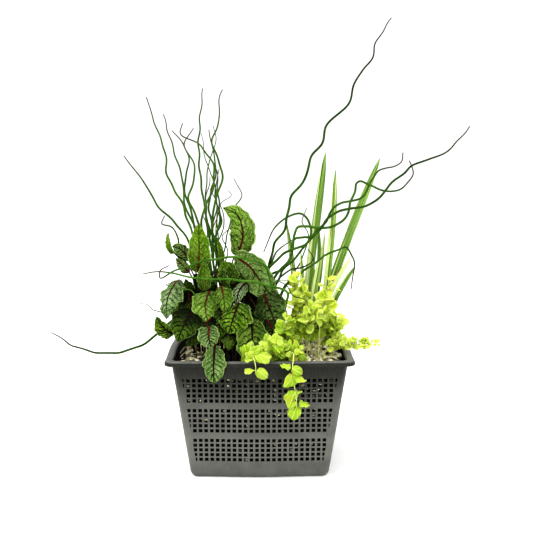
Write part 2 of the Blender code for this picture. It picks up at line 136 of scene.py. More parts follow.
def basket_sheet():
    """The tub's inner skin as one sheet: rings up the inside of the wall, over the lip and down its
    skirt, with the floor as smaller copies of the lowest ring. Gives points, faces and each face's
    paint: one on the wall and the floor, two on the lip."""
    wall_rows = [UNDER_LIP]
    for low, high in HOLE_BANDS:
        wall_rows.extend(hole_edges(np.linspace(low, high, ROWS_IN_BAND)))
    wall_rows.extend(PLAIN_ROWS)
    wall_rows = np.sort(wall_rows)
    foot = np.radians(np.linspace(0, 80, 5))
    foot_rows = WALL + FOOT_ROUND * (1 - np.sin(foot[::-1]))
    foot_inset = FOOT_ROUND * (1 - np.cos(foot[::-1]))
    heights = np.concatenate([foot_rows, wall_rows])
    half, corner = wall_at(heights)
    inset = WALL + np.concatenate([foot_inset, np.zeros(len(wall_rows))])
    lip_half, lip_height = np.array(LIP_PROFILE).T
    share = (lip_half - LIP_PROFILE[0][0]) / (LIP_HALF - LIP_PROFILE[0][0])
    lip_corner = WALL_CORNER - WALL + share * (LIP_CORNER - WALL_CORNER + WALL)
    heights = np.concatenate([heights, lip_height])
    half = np.concatenate([half - inset, lip_half])
    corner = np.concatenate([corner - inset, lip_corner])
    stations = side_stations(heights, half, corner)
    rings = square_rings(half, corner, heights, stations)
    floor = shrunk(rings[0], FLOOR_SHARES)
    floor[:, :, 2] = WALL
    points = np.concatenate([floor, rings])
    rows, columns = points.shape[:2]
    quads = grid_quads(rows, columns)
    low, high = points[3:-1, :, 2].min(axis=1), points[4:, :, 2].max(axis=1)
    hole_row = np.isclose(high - low, HOLE) & (low < UNDER_LIP - HOLE)
    side = np.hstack([stations, -stations[:, :1]])
    near = np.minimum(np.abs(side[:-1, :-1]), np.abs(side[:-1, 1:]))
    far = np.maximum(np.abs(side[:-1, :-1]), np.abs(side[:-1, 1:]))
    middle_hole = np.isclose((near / HOLE_PITCH) % 1, 0.5 - HOLE / 2 / HOLE_PITCH)
    wide_enough = (far - near > NARROWEST_HOLE) & (near < hole_limit(points[3:-1, :1, 2]) - NARROWEST_HOLE)
    is_open = np.zeros((rows - 1, columns), bool)
    is_open[3:] = np.tile(middle_hole & wide_enough, 4) & hole_row[:, None]
    faces = quads[~is_open]
    is_lip = faces[:, 0] >= (rows - len(LIP_PROFILE)) * columns
    pole = rows * columns
    first = np.arange(columns)
    fan = np.stack([np.full(columns, pole), np.roll(first, -1), first], axis=1)
    paints = np.concatenate([1 + is_lip.astype(int), np.ones(columns, int)])
    return np.vstack([points.reshape(-1, 3), [[0, 0, WALL]]]), faces.tolist() + fan.tolist(), paints


def put_piece(name, shape, materials, nodes=(), labels=(), paints=None):
    """A mesh in metres with its materials, riding on the root and standing for its nodes. A shape is
    points and faces, then three values a point for each label; paints says which material a face has."""
    mesh = bpy.data.meshes.new(name)
    mesh.from_pydata((np.asarray(shape[0]).reshape(-1, 3) * MM).tolist(), [], shape[1])
    mesh.polygons.foreach_set("use_smooth", [True] * len(mesh.polygons))
    for material in materials:
        mesh.materials.append(material)
    if paints is not None:
        mesh.polygons.foreach_set("material_index", paints)
    for column, label in enumerate(labels):
        layer = mesh.attributes.new(label, "FLOAT_VECTOR", "POINT")
        layer.data.foreach_set("vector", shape[2][:, 3 * column:3 * column + 3].ravel())
    piece = bpy.data.objects.new(name, mesh)
    bpy.context.scene.collection.objects.link(piece)
    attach(piece, "root")
    if nodes:
        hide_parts(*nodes)
    return piece


def set_sockets(node, sockets):
    """Each of a node's inputs gets a link, a plain value or a colour."""
    for key, value in sockets.items():
        socket = node.inputs[key]
        if isinstance(value, bpy.types.NodeSocket):
            node.id_data.links.new(value, socket)
        else:
            socket.default_value = (*value, 1.0) if socket.type == "RGBA" else value


def add_node(tree, kind, sockets, **settings):
    """Add a node with its sockets set. Settings are its properties."""
    made = tree.nodes.new(kind)
    for key, value in settings.items():
        setattr(made, key, value)
    set_sockets(made, sockets)
    return made


def calc(operation, *numbers):
    """One kind of sum on all the numbers, from left to right, as a node's output. At least one of
    them is a link, whose tree gets the nodes."""
    tree = next(number.id_data for number in numbers if isinstance(number, bpy.types.NodeSocket))
    total = numbers[0]
    for number in numbers[1:] or (0.0,):
        total = add_node(tree, "ShaderNodeMath", {0: total, 1: number}, operation=operation).outputs[0]
    return total


def plus(*numbers):
    """The sum of the numbers."""
    return calc("ADD", *numbers)


def less(first, second):
    """The first number less the second."""
    return calc("SUBTRACT", first, second)


def times(*numbers):
    """The product of the numbers."""
    return calc("MULTIPLY", *numbers)


def largest(*numbers):
    """The largest of the numbers."""
    return calc("MAXIMUM", *numbers)


def ramp(value, start, end, low=0.0, high=1.0):
    """A smooth step: low up to start, high from end on."""
    sockets = {"Value": value, "From Min": start, "From Max": end, "To Min": low, "To Max": high}
    return add_node(value.id_data, "ShaderNodeMapRange", sockets, interpolation_type="SMOOTHSTEP").outputs[0]


def blend(share, first, second):
    """First colour where share is nought, second where it is one."""
    sockets = {0: share, 6: first, 7: second}
    return add_node(share.id_data, "ShaderNodeMix", sockets, data_type="RGBA").outputs[2]


def three_of(vector):
    """The three numbers of a vector."""
    return add_node(vector.id_data, "ShaderNodeSeparateXYZ", {0: vector}).outputs


def label_vector(tree, label):
    """The vector that the mesh carries at each point under a label."""
    return add_node(tree, "ShaderNodeAttribute", {}, attribute_name=label).outputs["Vector"]


def object_place(tree):
    """The place on the object, in metres."""
    return add_node(tree, "ShaderNodeTexCoord", {}).outputs["Object"]


def scaled(vector, scale, shift=(0.0, 0.0, 0.0)):
    """A vector times a scale of its own each way, and then shifted."""
    sockets = {"Vector": vector, "Scale": scale, "Location": shift}
    return add_node(vector.id_data, "ShaderNodeMapping", sockets).outputs[0]


def noise(vector, scale, detail):
    """Cloudy noise from nought to one."""
    sockets = {"Vector": vector, "Scale": scale, "Detail": detail}
    return add_node(vector.id_data, "ShaderNodeTexNoise", sockets).outputs[0]


def new_material(name):
    """A new material with its tree, which has a Principled shader."""
    made = bpy.data.materials.new(name)
    made.use_nodes = True
    return made, made.node_tree


def new_group(name, inputs, outputs):
    """An empty shader group with its sockets; gives back the group and its two end nodes."""
    group = bpy.data.node_groups.new(name, "ShaderNodeTree")
    for label, kind in inputs.items():
        group.interface.new_socket(label, in_out="INPUT", socket_type="NodeSocket" + kind)
    for label, kind in outputs.items():
        group.interface.new_socket(label, in_out="OUTPUT", socket_type="NodeSocket" + kind)
    return group, group.nodes.new("NodeGroupInput"), group.nodes.new("NodeGroupOutput")


def mottle_group():
    """Two colours mixed by cloudy noise on Object coordinates, with finer grains in it."""
    group, source, sink = new_group(
        "mottle",
        {"Dark": "Color", "Light": "Color", "Patches": "Float", "Grains": "Float"},
        {"Colour": "Color", "Mask": "Float", "Height": "Float"})
    place = object_place(group)
    clouds = noise(place, source.outputs["Patches"], 4.0)
    grains = noise(place, source.outputs["Grains"], 3.0)
    both = plus(times(clouds, 0.65), times(grains, 0.35))
    mask = ramp(both, 0.38, 0.62)
    colour = blend(mask, source.outputs["Dark"], source.outputs["Light"])
    set_sockets(sink, {"Colour": colour, "Mask": mask, "Height": grains})
    return group


MOTTLE = mottle_group()


def mottled(tree, dark, light, patches, grains):
    """The outputs of a mottle node set to its own colours and scales."""
    sockets = {"Dark": dark, "Light": light, "Patches": patches, "Grains": grains}
    return add_node(tree, "ShaderNodeGroup", sockets, node_tree=MOTTLE).outputs


def finish_paint(paint, colour, roughness, specular, bump=None, others=()):
    """Give a material's shader its colour, its roughness, how much it mirrors and its other sockets. A
    bump is a height, how strong it is and how many metres high."""
    sockets = {"Base Color": colour, "Roughness": roughness, "Specular IOR Level": specular, **dict(others)}
    if bump:
        heights = dict(zip(("Height", "Strength", "Distance"), bump))
        sockets["Normal"] = add_node(paint.node_tree, "ShaderNodeBump", heights).outputs[0]
    set_sockets(paint.node_tree.nodes["Principled BSDF"], sockets)
    return paint


def basket_plastic():
    """Satin grey plastic: faint mottling, water streaks, a lighter band low down that is painted light,
    painted shade that darkens the wall under the lip, and a painted highlight along the lip's top."""
    paint, tree = new_material("basket_plastic")
    base = mottled(tree, (0.085, 0.087, 0.076), (0.112, 0.114, 0.1), 45.0, 900.0)
    place = object_place(tree)
    height = three_of(place)[2]
    streaks = noise(scaled(place, (150.0, 150.0, 9.0)), 5.0, 3.0)
    # Painted light: a lighter band low down on the wall, joined with the real water streaks.
    lit_low_band = times(ramp(height, 0.018, 0.03, 0.0, 0.42), ramp(height, 0.048, 0.06, 1.0, 0.0))
    streaks_and_lit_band = largest(times(ramp(streaks, 0.5, 0.75), 0.22), lit_low_band)
    streaked_and_lit = blend(streaks_and_lit_band, base["Colour"], (0.16, 0.16, 0.143))
    # Painted shade: the wall darkens towards the lip, near black just under it, in the lip's shadow; the
    # blend named damp holds it.
    under_lip_shade = times(ramp(height, 0.079, 0.141), ramp(streaks, 0.3, 0.7, 0.9, 1.0))
    damp = blend(under_lip_shade, streaked_and_lit, (0.0095, 0.0105, 0.006))
    speckle = noise(place, 320.0, 5.0)
    # Painted highlight: the top of the lip is lighter, broken up by speckle; the blend named worn holds it.
    lip_top_highlight = times(ramp(height, 0.1498, 0.1516), ramp(speckle, 0.35, 0.65, 0.45, 0.85))
    worn = blend(lip_top_highlight, damp, (0.14, 0.14, 0.13))
    satin = ramp(speckle, 0.3, 0.7, 0.36, 0.52)
    return finish_paint(paint, worn, satin, 0.2, (base["Height"], 0.25, 0.00015))


def harden(piece, angle):
    """Bake the modifiers into the mesh and mark the edges sharper than an angle."""
    bpy.context.view_layer.update()
    evaluated = piece.evaluated_get(bpy.context.evaluated_depsgraph_get())
    final = bpy.data.meshes.new_from_object(evaluated)
    piece.modifiers.clear()
    piece.data = final
    final.set_sharp_from_angle(angle=math.radians(angle))


def basket_inside():
    """The inner face of the wall, mottled and painted near black as the shade inside the basket."""
    paint, tree = new_material("basket_inside")
    inside_shade = mottled(tree, (0.002, 0.002, 0.0018), (0.014, 0.013, 0.011), 60.0, 700.0)
    return finish_paint(paint, inside_shade["Colour"], 0.7, 0.03)


*basket_skin, basket_paints = basket_sheet()
plastic = basket_plastic()
basket = put_piece("pond_basket", basket_skin, [basket_inside(), plastic, plastic], ["basket"],
                   paints=basket_paints)
skin = basket.modifiers.new("wall", "SOLIDIFY")
skin.thickness = WALL * MM
skin.offset = 1.0
skin.use_even_offset = True
skin.material_offset = -1
skin.material_offset_rim = -1
edge = basket.modifiers.new("hole_edges", "BEVEL")
edge.width = EDGE_BEVEL * MM
edge.segments = 1
edge.limit_method = "ANGLE"
edge.angle_limit = math.radians(50)
harden(basket, 60)


# The compost is dark, damp and fibrous, and packed by hand to just short of the rim. Stones from the
# top dressing have run down beside the wall, where a few of them show pale in the holes.
SOIL_FLOOR = 3.4
SOIL_TOP = 132.0
SOIL_INSET = 3.6
SOIL_LUMP = 1.1
LUMP_SIZE = 7.0
SOIL_DIP = 1.2
DIP_SIZE = 15.0
SOIL_ROWS = 64
SOIL_COLUMNS = 56
WALL_STONES = 640
WALL_STONE_RADIUS = 2.9
WALL_STONE_DROP = 118.0
WALL_STONE_GAP = 0.1
STONE_CUBE = 4
STONE_DENT = 0.09
STONE_KINDS = ((0.0, (0.84, 0.78, 0.52)), (0.28, (0.95, 0.91, 0.7)), (0.48, (0.46, 0.43, 0.27)),
               (0.6, (0.16, 0.16, 0.11)), (0.74, (0.56, 0.46, 0.26)), (0.82, (0.04, 0.042, 0.03)),
               (0.95, (0.92, 0.9, 0.76)))
BALL_RINGS = 4
BALL_COLUMNS = 8


def waves(points, size, seed, count=14):
    """Smooth noise of about plus or minus one: a sum of plane sine waves, each about one size long,
    which run in random directions."""
    random = np.random.default_rng(seed)
    ways = random.normal(size=(3, count))
    ways *= 2 * np.pi / size / np.linalg.norm(ways, axis=0) * random.uniform(0.7, 1.5, count)
    return np.sin(points @ ways + random.uniform(0, 2 * np.pi, count)).sum(axis=-1) / np.sqrt(count)


def inside_wall(heights, inset):
    """Half width and corner radius of a rounded square so far inside the wall's outer face."""
    half, corner = wall_at(heights)
    return half - inset, corner - inset


def rings_inside(heights, inset, count):
    """Rings inside the wall, with so many points a side at even steps from corner to corner."""
    half, corner = inside_wall(heights, inset)
    stations = side_reach(half, corner)[:, None] * np.linspace(-1, 1, count, endpoint=False)
    return square_rings(half, corner, heights, stations)


def closed_grid(rings, first_pole, last_pole):
    """A closed skin over a stack of rings: a fan of triangles closes each end on its pole."""
    rows, columns = rings.shape[:2]
    first = np.arange(columns)
    last = first + (rows - 1) * columns
    low = np.full(columns, rows * columns)
    fans = np.vstack([np.stack([low, np.roll(first, -1), first], axis=1),
                      np.stack([last, np.roll(last, -1), low + 1], axis=1)])
    points = np.vstack([rings.reshape(-1, 3), first_pole, last_pole])
    return points, grid_quads(rows, columns).reshape(-1, 4).tolist() + fans.tolist()


def soil_block():
    """The block inside the wall: rings up the wall face, moved in by lumps, and smaller rings across
    the underside and the top, whose middles are the poles."""
    heights = np.linspace(SOIL_FLOOR + 0.6, SOIL_TOP - 0.4, SOIL_ROWS)
    side = rings_inside(heights, SOIL_INSET, SOIL_COLUMNS)
    inward = 1 - SOIL_LUMP * (1 + waves(side, LUMP_SIZE, 3)) / 100
    side[:, :, :2] *= np.minimum(inward, 1.0)[:, :, None]
    under = shrunk(side[0], (0.4, 0.75, 0.97))
    under[:, :, 2] = SOIL_FLOOR
    over = shrunk(side[-1], np.linspace(0.98, 0.1, 12))
    over[:, :, 2] = SOIL_TOP - SOIL_DIP + waves(over, DIP_SIZE, 4)
    return closed_grid(np.concatenate([under, side, over]), (0, 0, SOIL_FLOOR), (0, 0, SOIL_TOP - SOIL_DIP))


def ball_grid():
    """A unit ball in a few rings, with its poles on Z."""
    fall = np.linspace(np.pi, 0, BALL_RINGS + 2)[1:-1, None]
    turn = 2 * np.pi * np.arange(BALL_COLUMNS) / BALL_COLUMNS
    height = np.broadcast_to(np.cos(fall), (BALL_RINGS, BALL_COLUMNS))
    rings = np.stack([np.sin(fall) * np.cos(turn), np.sin(fall) * np.sin(turn), height], axis=2)
    return closed_grid(rings, (0, 0, -1), (0, 0, 1))


def random_turns(random, count):
    """Random rotation matrices, from the orthogonal factor of random square matrices."""
    turns = np.linalg.qr(random.normal(size=(count, 3, 3)))[0]
    return turns * np.sign(np.linalg.det(turns))[:, None, None]


def copied_faces(faces, count, points):
    """The faces of so many copies of one shape, which has so many points."""
    starts = range(0, count * points, points)
    return [[corner + start for corner in face] for start in starts for face in faces]


def stones(places, radii, seed):
    """Worn angular stones: each is a ball pushed out towards a cube, drawn longer one way and flatter
    another, dented by two sine waves of its own and turned at random. Gives points, faces and two
    tones a stone with the height in it, from minus one to plus one, which sets the painted shade on
    the stone's lower half."""
    ball, faces = ball_grid()
    random = np.random.default_rng(seed)
    count = len(places)
    boxy = ball @ random_turns(random, count)
    stretch = random.uniform((0.8, 0.68, 0.5), (1.35, 1.05, 0.85), (count, 3))
    dents = sum(STONE_DENT * np.sin(boxy @ random.normal(0, 2.6, (count, 3, 1))
                                    + random.uniform(0, 6.28, (count, 1, 1))) for _ in range(2))
    radius = (np.abs(boxy) ** STONE_CUBE).sum(axis=2, keepdims=True) ** (-1 / STONE_CUBE)
    shaped = boxy * radius * (1 + dents) * stretch[:, None, :]
    turned = shaped @ random_turns(random, count)
    points = turned * radii[:, None, None] + places[:, None, :]
    tones = np.repeat(random.uniform(0, 1, (count, 3)), len(ball), axis=0)
    tones[:, 2] = turned[:, :, 2].ravel()
    return points.reshape(-1, 3), copied_faces(faces, count, len(ball)), tones


def join_shapes(shapes):
    """Puts shapes of points, faces and values after one another in one mesh."""
    points, faces, values = zip(*shapes)
    starts = np.cumsum([0] + [len(each) for each in points[:-1]]).tolist()
    all_faces = [[corner + start for corner in face] for start, each in zip(starts, faces) for face in each]
    return np.vstack(points), all_faces, np.vstack(values)


def compost():
    """Near-black crumbs and brown fibre, damp enough to have a dull shine in places."""
    paint, tree = new_material("compost")
    crumbs = mottled(tree, (0.0025, 0.002, 0.0015), (0.02, 0.013, 0.008), 120.0, 800.0)
    damp = ramp(crumbs["Mask"], 0.2, 0.9, 0.55, 0.9)
    return finish_paint(paint, crumbs["Colour"], damp, 0.03, (crumbs["Height"], 0.8, 0.001))


def pebble_stone():
    """Mixed pea gravel: cream, tan, grey and rusty stones, by each stone's own tone, with fine veins,
    caked dirt on some and painted shade on the lower half of each; both are less on the right, which
    is painted lighter as the light falls there."""
    paint, tree = new_material("pebble_stone")
    tone, dirt, level = three_of(label_vector(tree, "tones"))
    kinds = add_node(tree, "ShaderNodeValToRGB", {"Fac": tone})
    kinds.color_ramp.interpolation = "CONSTANT"
    for _ in STONE_KINDS[2:]:
        kinds.color_ramp.elements.new(0.5)
    for stop, (where, colour) in zip(kinds.color_ramp.elements, STONE_KINDS):
        stop.position = where
        stop.color = (*colour, 1.0)
    flecks = mottled(tree, (0.5, 0.47, 0.36), (1.0, 1.0, 0.93), 260.0, 1500.0)
    speckled = add_node(tree, "ShaderNodeMix", {0: 0.7, 6: kinds.outputs[0], 7: flecks["Colour"]},
                        data_type="RGBA", blend_type="MULTIPLY").outputs[2]
    # Painted light: the stones on the right are lighter, with less dirt and less painted shade, as the light
    # falls there.
    lit_right = ramp(three_of(object_place(tree))[0], 0.0, 0.06, 0.0, 0.45)
    caked = ramp(less(dirt, lit_right), 0.55, 1.0, 0.0, 0.85)
    # Painted shade: each stone darkens to near black towards its lower half, by its height.
    sunk = ramp(plus(level, lit_right), -0.25, 0.4, 0.97, 0.0)
    dirt_and_shade = blend(largest(caked, sunk), speckled, (0.014, 0.012, 0.009))
    return finish_paint(paint, dirt_and_shade, 0.62, 0.06, (flecks["Height"], 0.5, 0.0004))


def wall_stone_places():
    """Where stones lie against the inside of the wall, with their radii: at random round it, most of
    them near the top, a stone's radius behind the holes."""
    random = np.random.default_rng(11)
    depth = random.uniform(0, 1, WALL_STONES) ** 2.8
    heights = SOIL_TOP - WALL_STONE_DROP * depth
    half, corner = inside_wall(heights, WALL + WALL_STONE_GAP + WALL_STONE_RADIUS)
    stations = side_reach(half, corner) * random.uniform(-1, 1, WALL_STONES)
    ring = square_rings(half, corner, heights, stations[:, None])
    places = ring[np.arange(WALL_STONES), random.integers(0, 4, WALL_STONES)]
    return places, WALL_STONE_RADIUS * random.uniform(0.75, 1.0, WALL_STONES)


put_piece("compost_block", soil_block(), [compost()], ["soil"])
GRAVEL_PAINT = pebble_stone()
wall_stones = stones(*wall_stone_places(), 12)
# The third value is set to one, so the stones behind the holes have no painted shade on their lower half.
wall_stones[2][:, 2] = 1.0
put_piece("wall_stones", wall_stones, [GRAVEL_PAINT], labels=["tones"])


# The top dressing is pea gravel a few stones deep, six to ten millimetres across, raked level by
# hand. It is left thin along the left wall, at the middle of the front and under the dock, so that the
# dark compost shows there as painted shade.
BED_TOP = 138.5
STONE_RADIUS = 3.4
STONE_PITCH = 5.1
STONES_REACH = 97.0
STONES_CLEAR = 4.6
STONES_JITTER = 1.0
STONES_HEAP = 1.1
HEAP_SIZE = 55.0
SECOND_LAYER = 2.6
BED_POINTS = 48
BED_RINGS = 46
BED_HOLLOW = 4.5
STONES_HOLLOW = 3.0
SHADE_THIN_PLACES = (((-106, -20), (9, 75)), ((-8, -92), (26, 34)), ((-42, -66), (38, 46)), ((-34, 12), (34, 60)))
DRY_STRIPS = (
    (4.6, (0.3, -0.5, 0.8), [(-102, -40, 146), (-97, -30, 151), (-90, -18, 153), (-83, -6, 149)]),
    (3.0, (0.5, -0.6, 0.3), [(-100, -56, 145), (-92, -42, 150), (-84, -28, 150), (-78, -18, 147)]),
    (2.2, (0.2, -0.9, 0.5), [(-90, -72, 145), (-82, -56, 149), (-74, -46, 147)]),
    (2.4, (0.8, -0.4, 0.2), [(78, -66, 144), (86, -74, 149), (97, -77, 146)]),
)


def shade_thinness(x, y):
    """How thin the gravel lies, from nought to one, baring the dark compost as painted shade: a bell
    curve of the distance, of its own spread each way, at each of the thin places."""
    hollows = [np.exp(-((x - middle[0]) / spread[0]) ** 2 - ((y - middle[1]) / spread[1]) ** 2)
               for middle, spread in SHADE_THIN_PLACES]
    return np.clip(sum(hollows), 0, 1)


def gravel_bed():
    """The grit under the stones: a closed slab inside the wall whose top dips at the thin places."""
    side = rings_inside(np.array([SOIL_TOP + 0.6, BED_TOP - 1.5]), WALL + 0.5, BED_POINTS)
    under = shrunk(side[0], (0.3, 0.8))
    under[:, :, 2] = SOIL_TOP + 0.5
    over = shrunk(side[-1], np.linspace(0.985, 0.03, BED_RINGS))
    grit = 0.7 * waves(over, 9.0, 21) + 0.5 * waves(over, 4.0, 22)
    over[:, :, 2] = BED_TOP - BED_HOLLOW * shade_thinness(over[:, :, 0], over[:, :, 1]) + grit
    return closed_grid(np.concatenate([under, side, over]), (0, 0, SOIL_TOP + 0.5), (0, 0, BED_TOP))


def top_stone_places():
    """Stones on a jittered triangular net, heaped unevenly and left out where the layer is thin, with
    a second, sparser layer lying in the gaps of the first."""
    random = np.random.default_rng(31)
    count = int(2 * STONES_REACH / STONE_PITCH)
    steps = (np.arange(count + 1) - count / 2) * STONE_PITCH
    x, y = np.meshgrid(steps, steps * 0.9)
    x = x + np.where(np.arange(len(steps)) % 2, STONE_PITCH / 2, 0)[:, None]
    net = np.stack([x, y, np.zeros_like(x)], axis=2).reshape(-1, 3)
    upper = net[random.uniform(size=len(net)) < 0.5] + (STONE_PITCH / 2, STONE_PITCH / 3, SECOND_LAYER)
    places = np.vstack([net, upper])
    places += random.normal(0, STONES_JITTER, places.shape) * (1, 1, 0.5)
    radii = STONE_RADIUS * random.uniform(0.62, 1.12, len(places))
    thin = shade_thinness(places[:, 0], places[:, 1])
    places[:, 2] += BED_TOP + 0.6 + STONES_HEAP * waves(places, HEAP_SIZE, 32) - STONES_HOLLOW * thin
    reach = wall_at(BED_TOP)[0] - WALL - STONES_CLEAR
    off_middle = np.abs(places[:, :2])
    inside = off_middle.max(axis=1) < reach - 0.8 + 1.6 * (off_middle.min(axis=1) < 60)
    kept = inside & (random.uniform(size=len(places)) > thin * 1.15)
    return places[kept], radii[kept]


def distances(knots):
    """How far along the knots each one is, by straight steps from the first."""
    steps = np.linalg.norm(np.diff(np.array(knots, float), axis=0), axis=1)
    return np.concatenate([[0.0], np.cumsum(steps)])


def along(knots, where):
    """Points at given distances on the smooth cubic through the knots, whose slope at each knot comes
    from its neighbours."""
    knots = np.array(knots, float)
    marks = distances(knots)
    slopes = np.gradient(knots, marks, axis=0)
    span = np.clip(np.searchsorted(marks, where, side="right") - 1, 0, len(marks) - 2)
    length = (marks[span + 1] - marks[span])[:, None]
    t = (np.asarray(where)[:, None] - marks[span][:, None]) / length
    start = (1 + 2 * t) * (1 - t) ** 2 * knots[span] + t * (1 - t) ** 2 * length * slopes[span]
    end = t * t * (3 - 2 * t) * knots[span + 1] - t * t * (1 - t) * length * slopes[span + 1]
    return start + end


def unit(vectors):
    """Each vector divided by its own length."""
    return vectors / np.linalg.norm(vectors, axis=1)[:, None]


def leaf_frame(knots, where, across):
    """Centres along a curve, the way across the leaf at each, which is the given direction less its
    part along the curve, and the leaf's normal, which is square to both."""
    centres = along(knots, where)
    ways = unit(np.gradient(centres, where, axis=0))
    sides = unit(np.array(across, float) - (ways @ np.array(across, float))[:, None] * ways)
    return centres, sides, np.cross(sides, ways)


def flat_blade(knots, where, across, halves, lifts, thickness, columns):
    """A thin leaf as a closed skin. The share u runs from edge to edge over the face on the normal's
    side and back under the other; the face is lifted by the lifts, given for each row and u, and the
    thickness falls to nothing at the edges. Gives the rings and u."""
    u = np.linspace(-1, 1, columns)
    u = np.concatenate([u, u[-2:0:-1]])
    face = np.concatenate([np.ones(columns), -np.ones(columns - 2)])
    centres, sides, normals = leaf_frame(knots, where, across)
    offset = lifts(u, where) + 0.5 * thickness * face * (1 - u ** 4)
    rings = (centres[:, None] + sides[:, None] * (halves[:, None] * u)[:, :, None]
             + normals[:, None] * offset[:, :, None])
    return rings, u


def dry_strip(width, across, knots):
    """A withered leaf: a narrow strip as wide as a half ellipse of its share of the way, rippled by
    a sine, with both edges curled up by the square of u."""
    where = np.linspace(0, distances(knots)[-1], 26)
    share = where / where[-1]
    halves = width / 2 * np.sqrt(np.clip(4 * share * (1 - share), 0.02, 1)) * (1 + 0.2 * np.sin(share * 31))
    rings, _ = flat_blade(knots, where, across, halves, lambda u, s: 0.9 * u ** 2 + 0 * s[:, None], 0.5, 7)
    points, faces = closed_grid(rings, *along(knots, where[[0, -1]]))
    return points, faces, np.zeros((len(points), 3))


def dry_leaf():
    """Bleached, papery leaf: pale straw with olive and brown streaks."""
    paint, tree = new_material("dry_leaf")
    fibre = mottled(tree, (0.2, 0.17, 0.07), (0.55, 0.52, 0.32), 180.0, 1200.0)
    return finish_paint(paint, fibre["Colour"], 0.75, 0.5, (fibre["Height"], 0.6, 0.0004))


put_piece("gravel_bed", gravel_bed(), [compost()], ["gravel"])
put_piece("pea_gravel", stones(*top_stone_places(), 33), [GRAVEL_PAINT], ["gravel"], ["tones"])
put_piece("dry_leaf_strips", join_shapes([dry_strip(*row) for row in DRY_STRIPS]), [dry_leaf()])


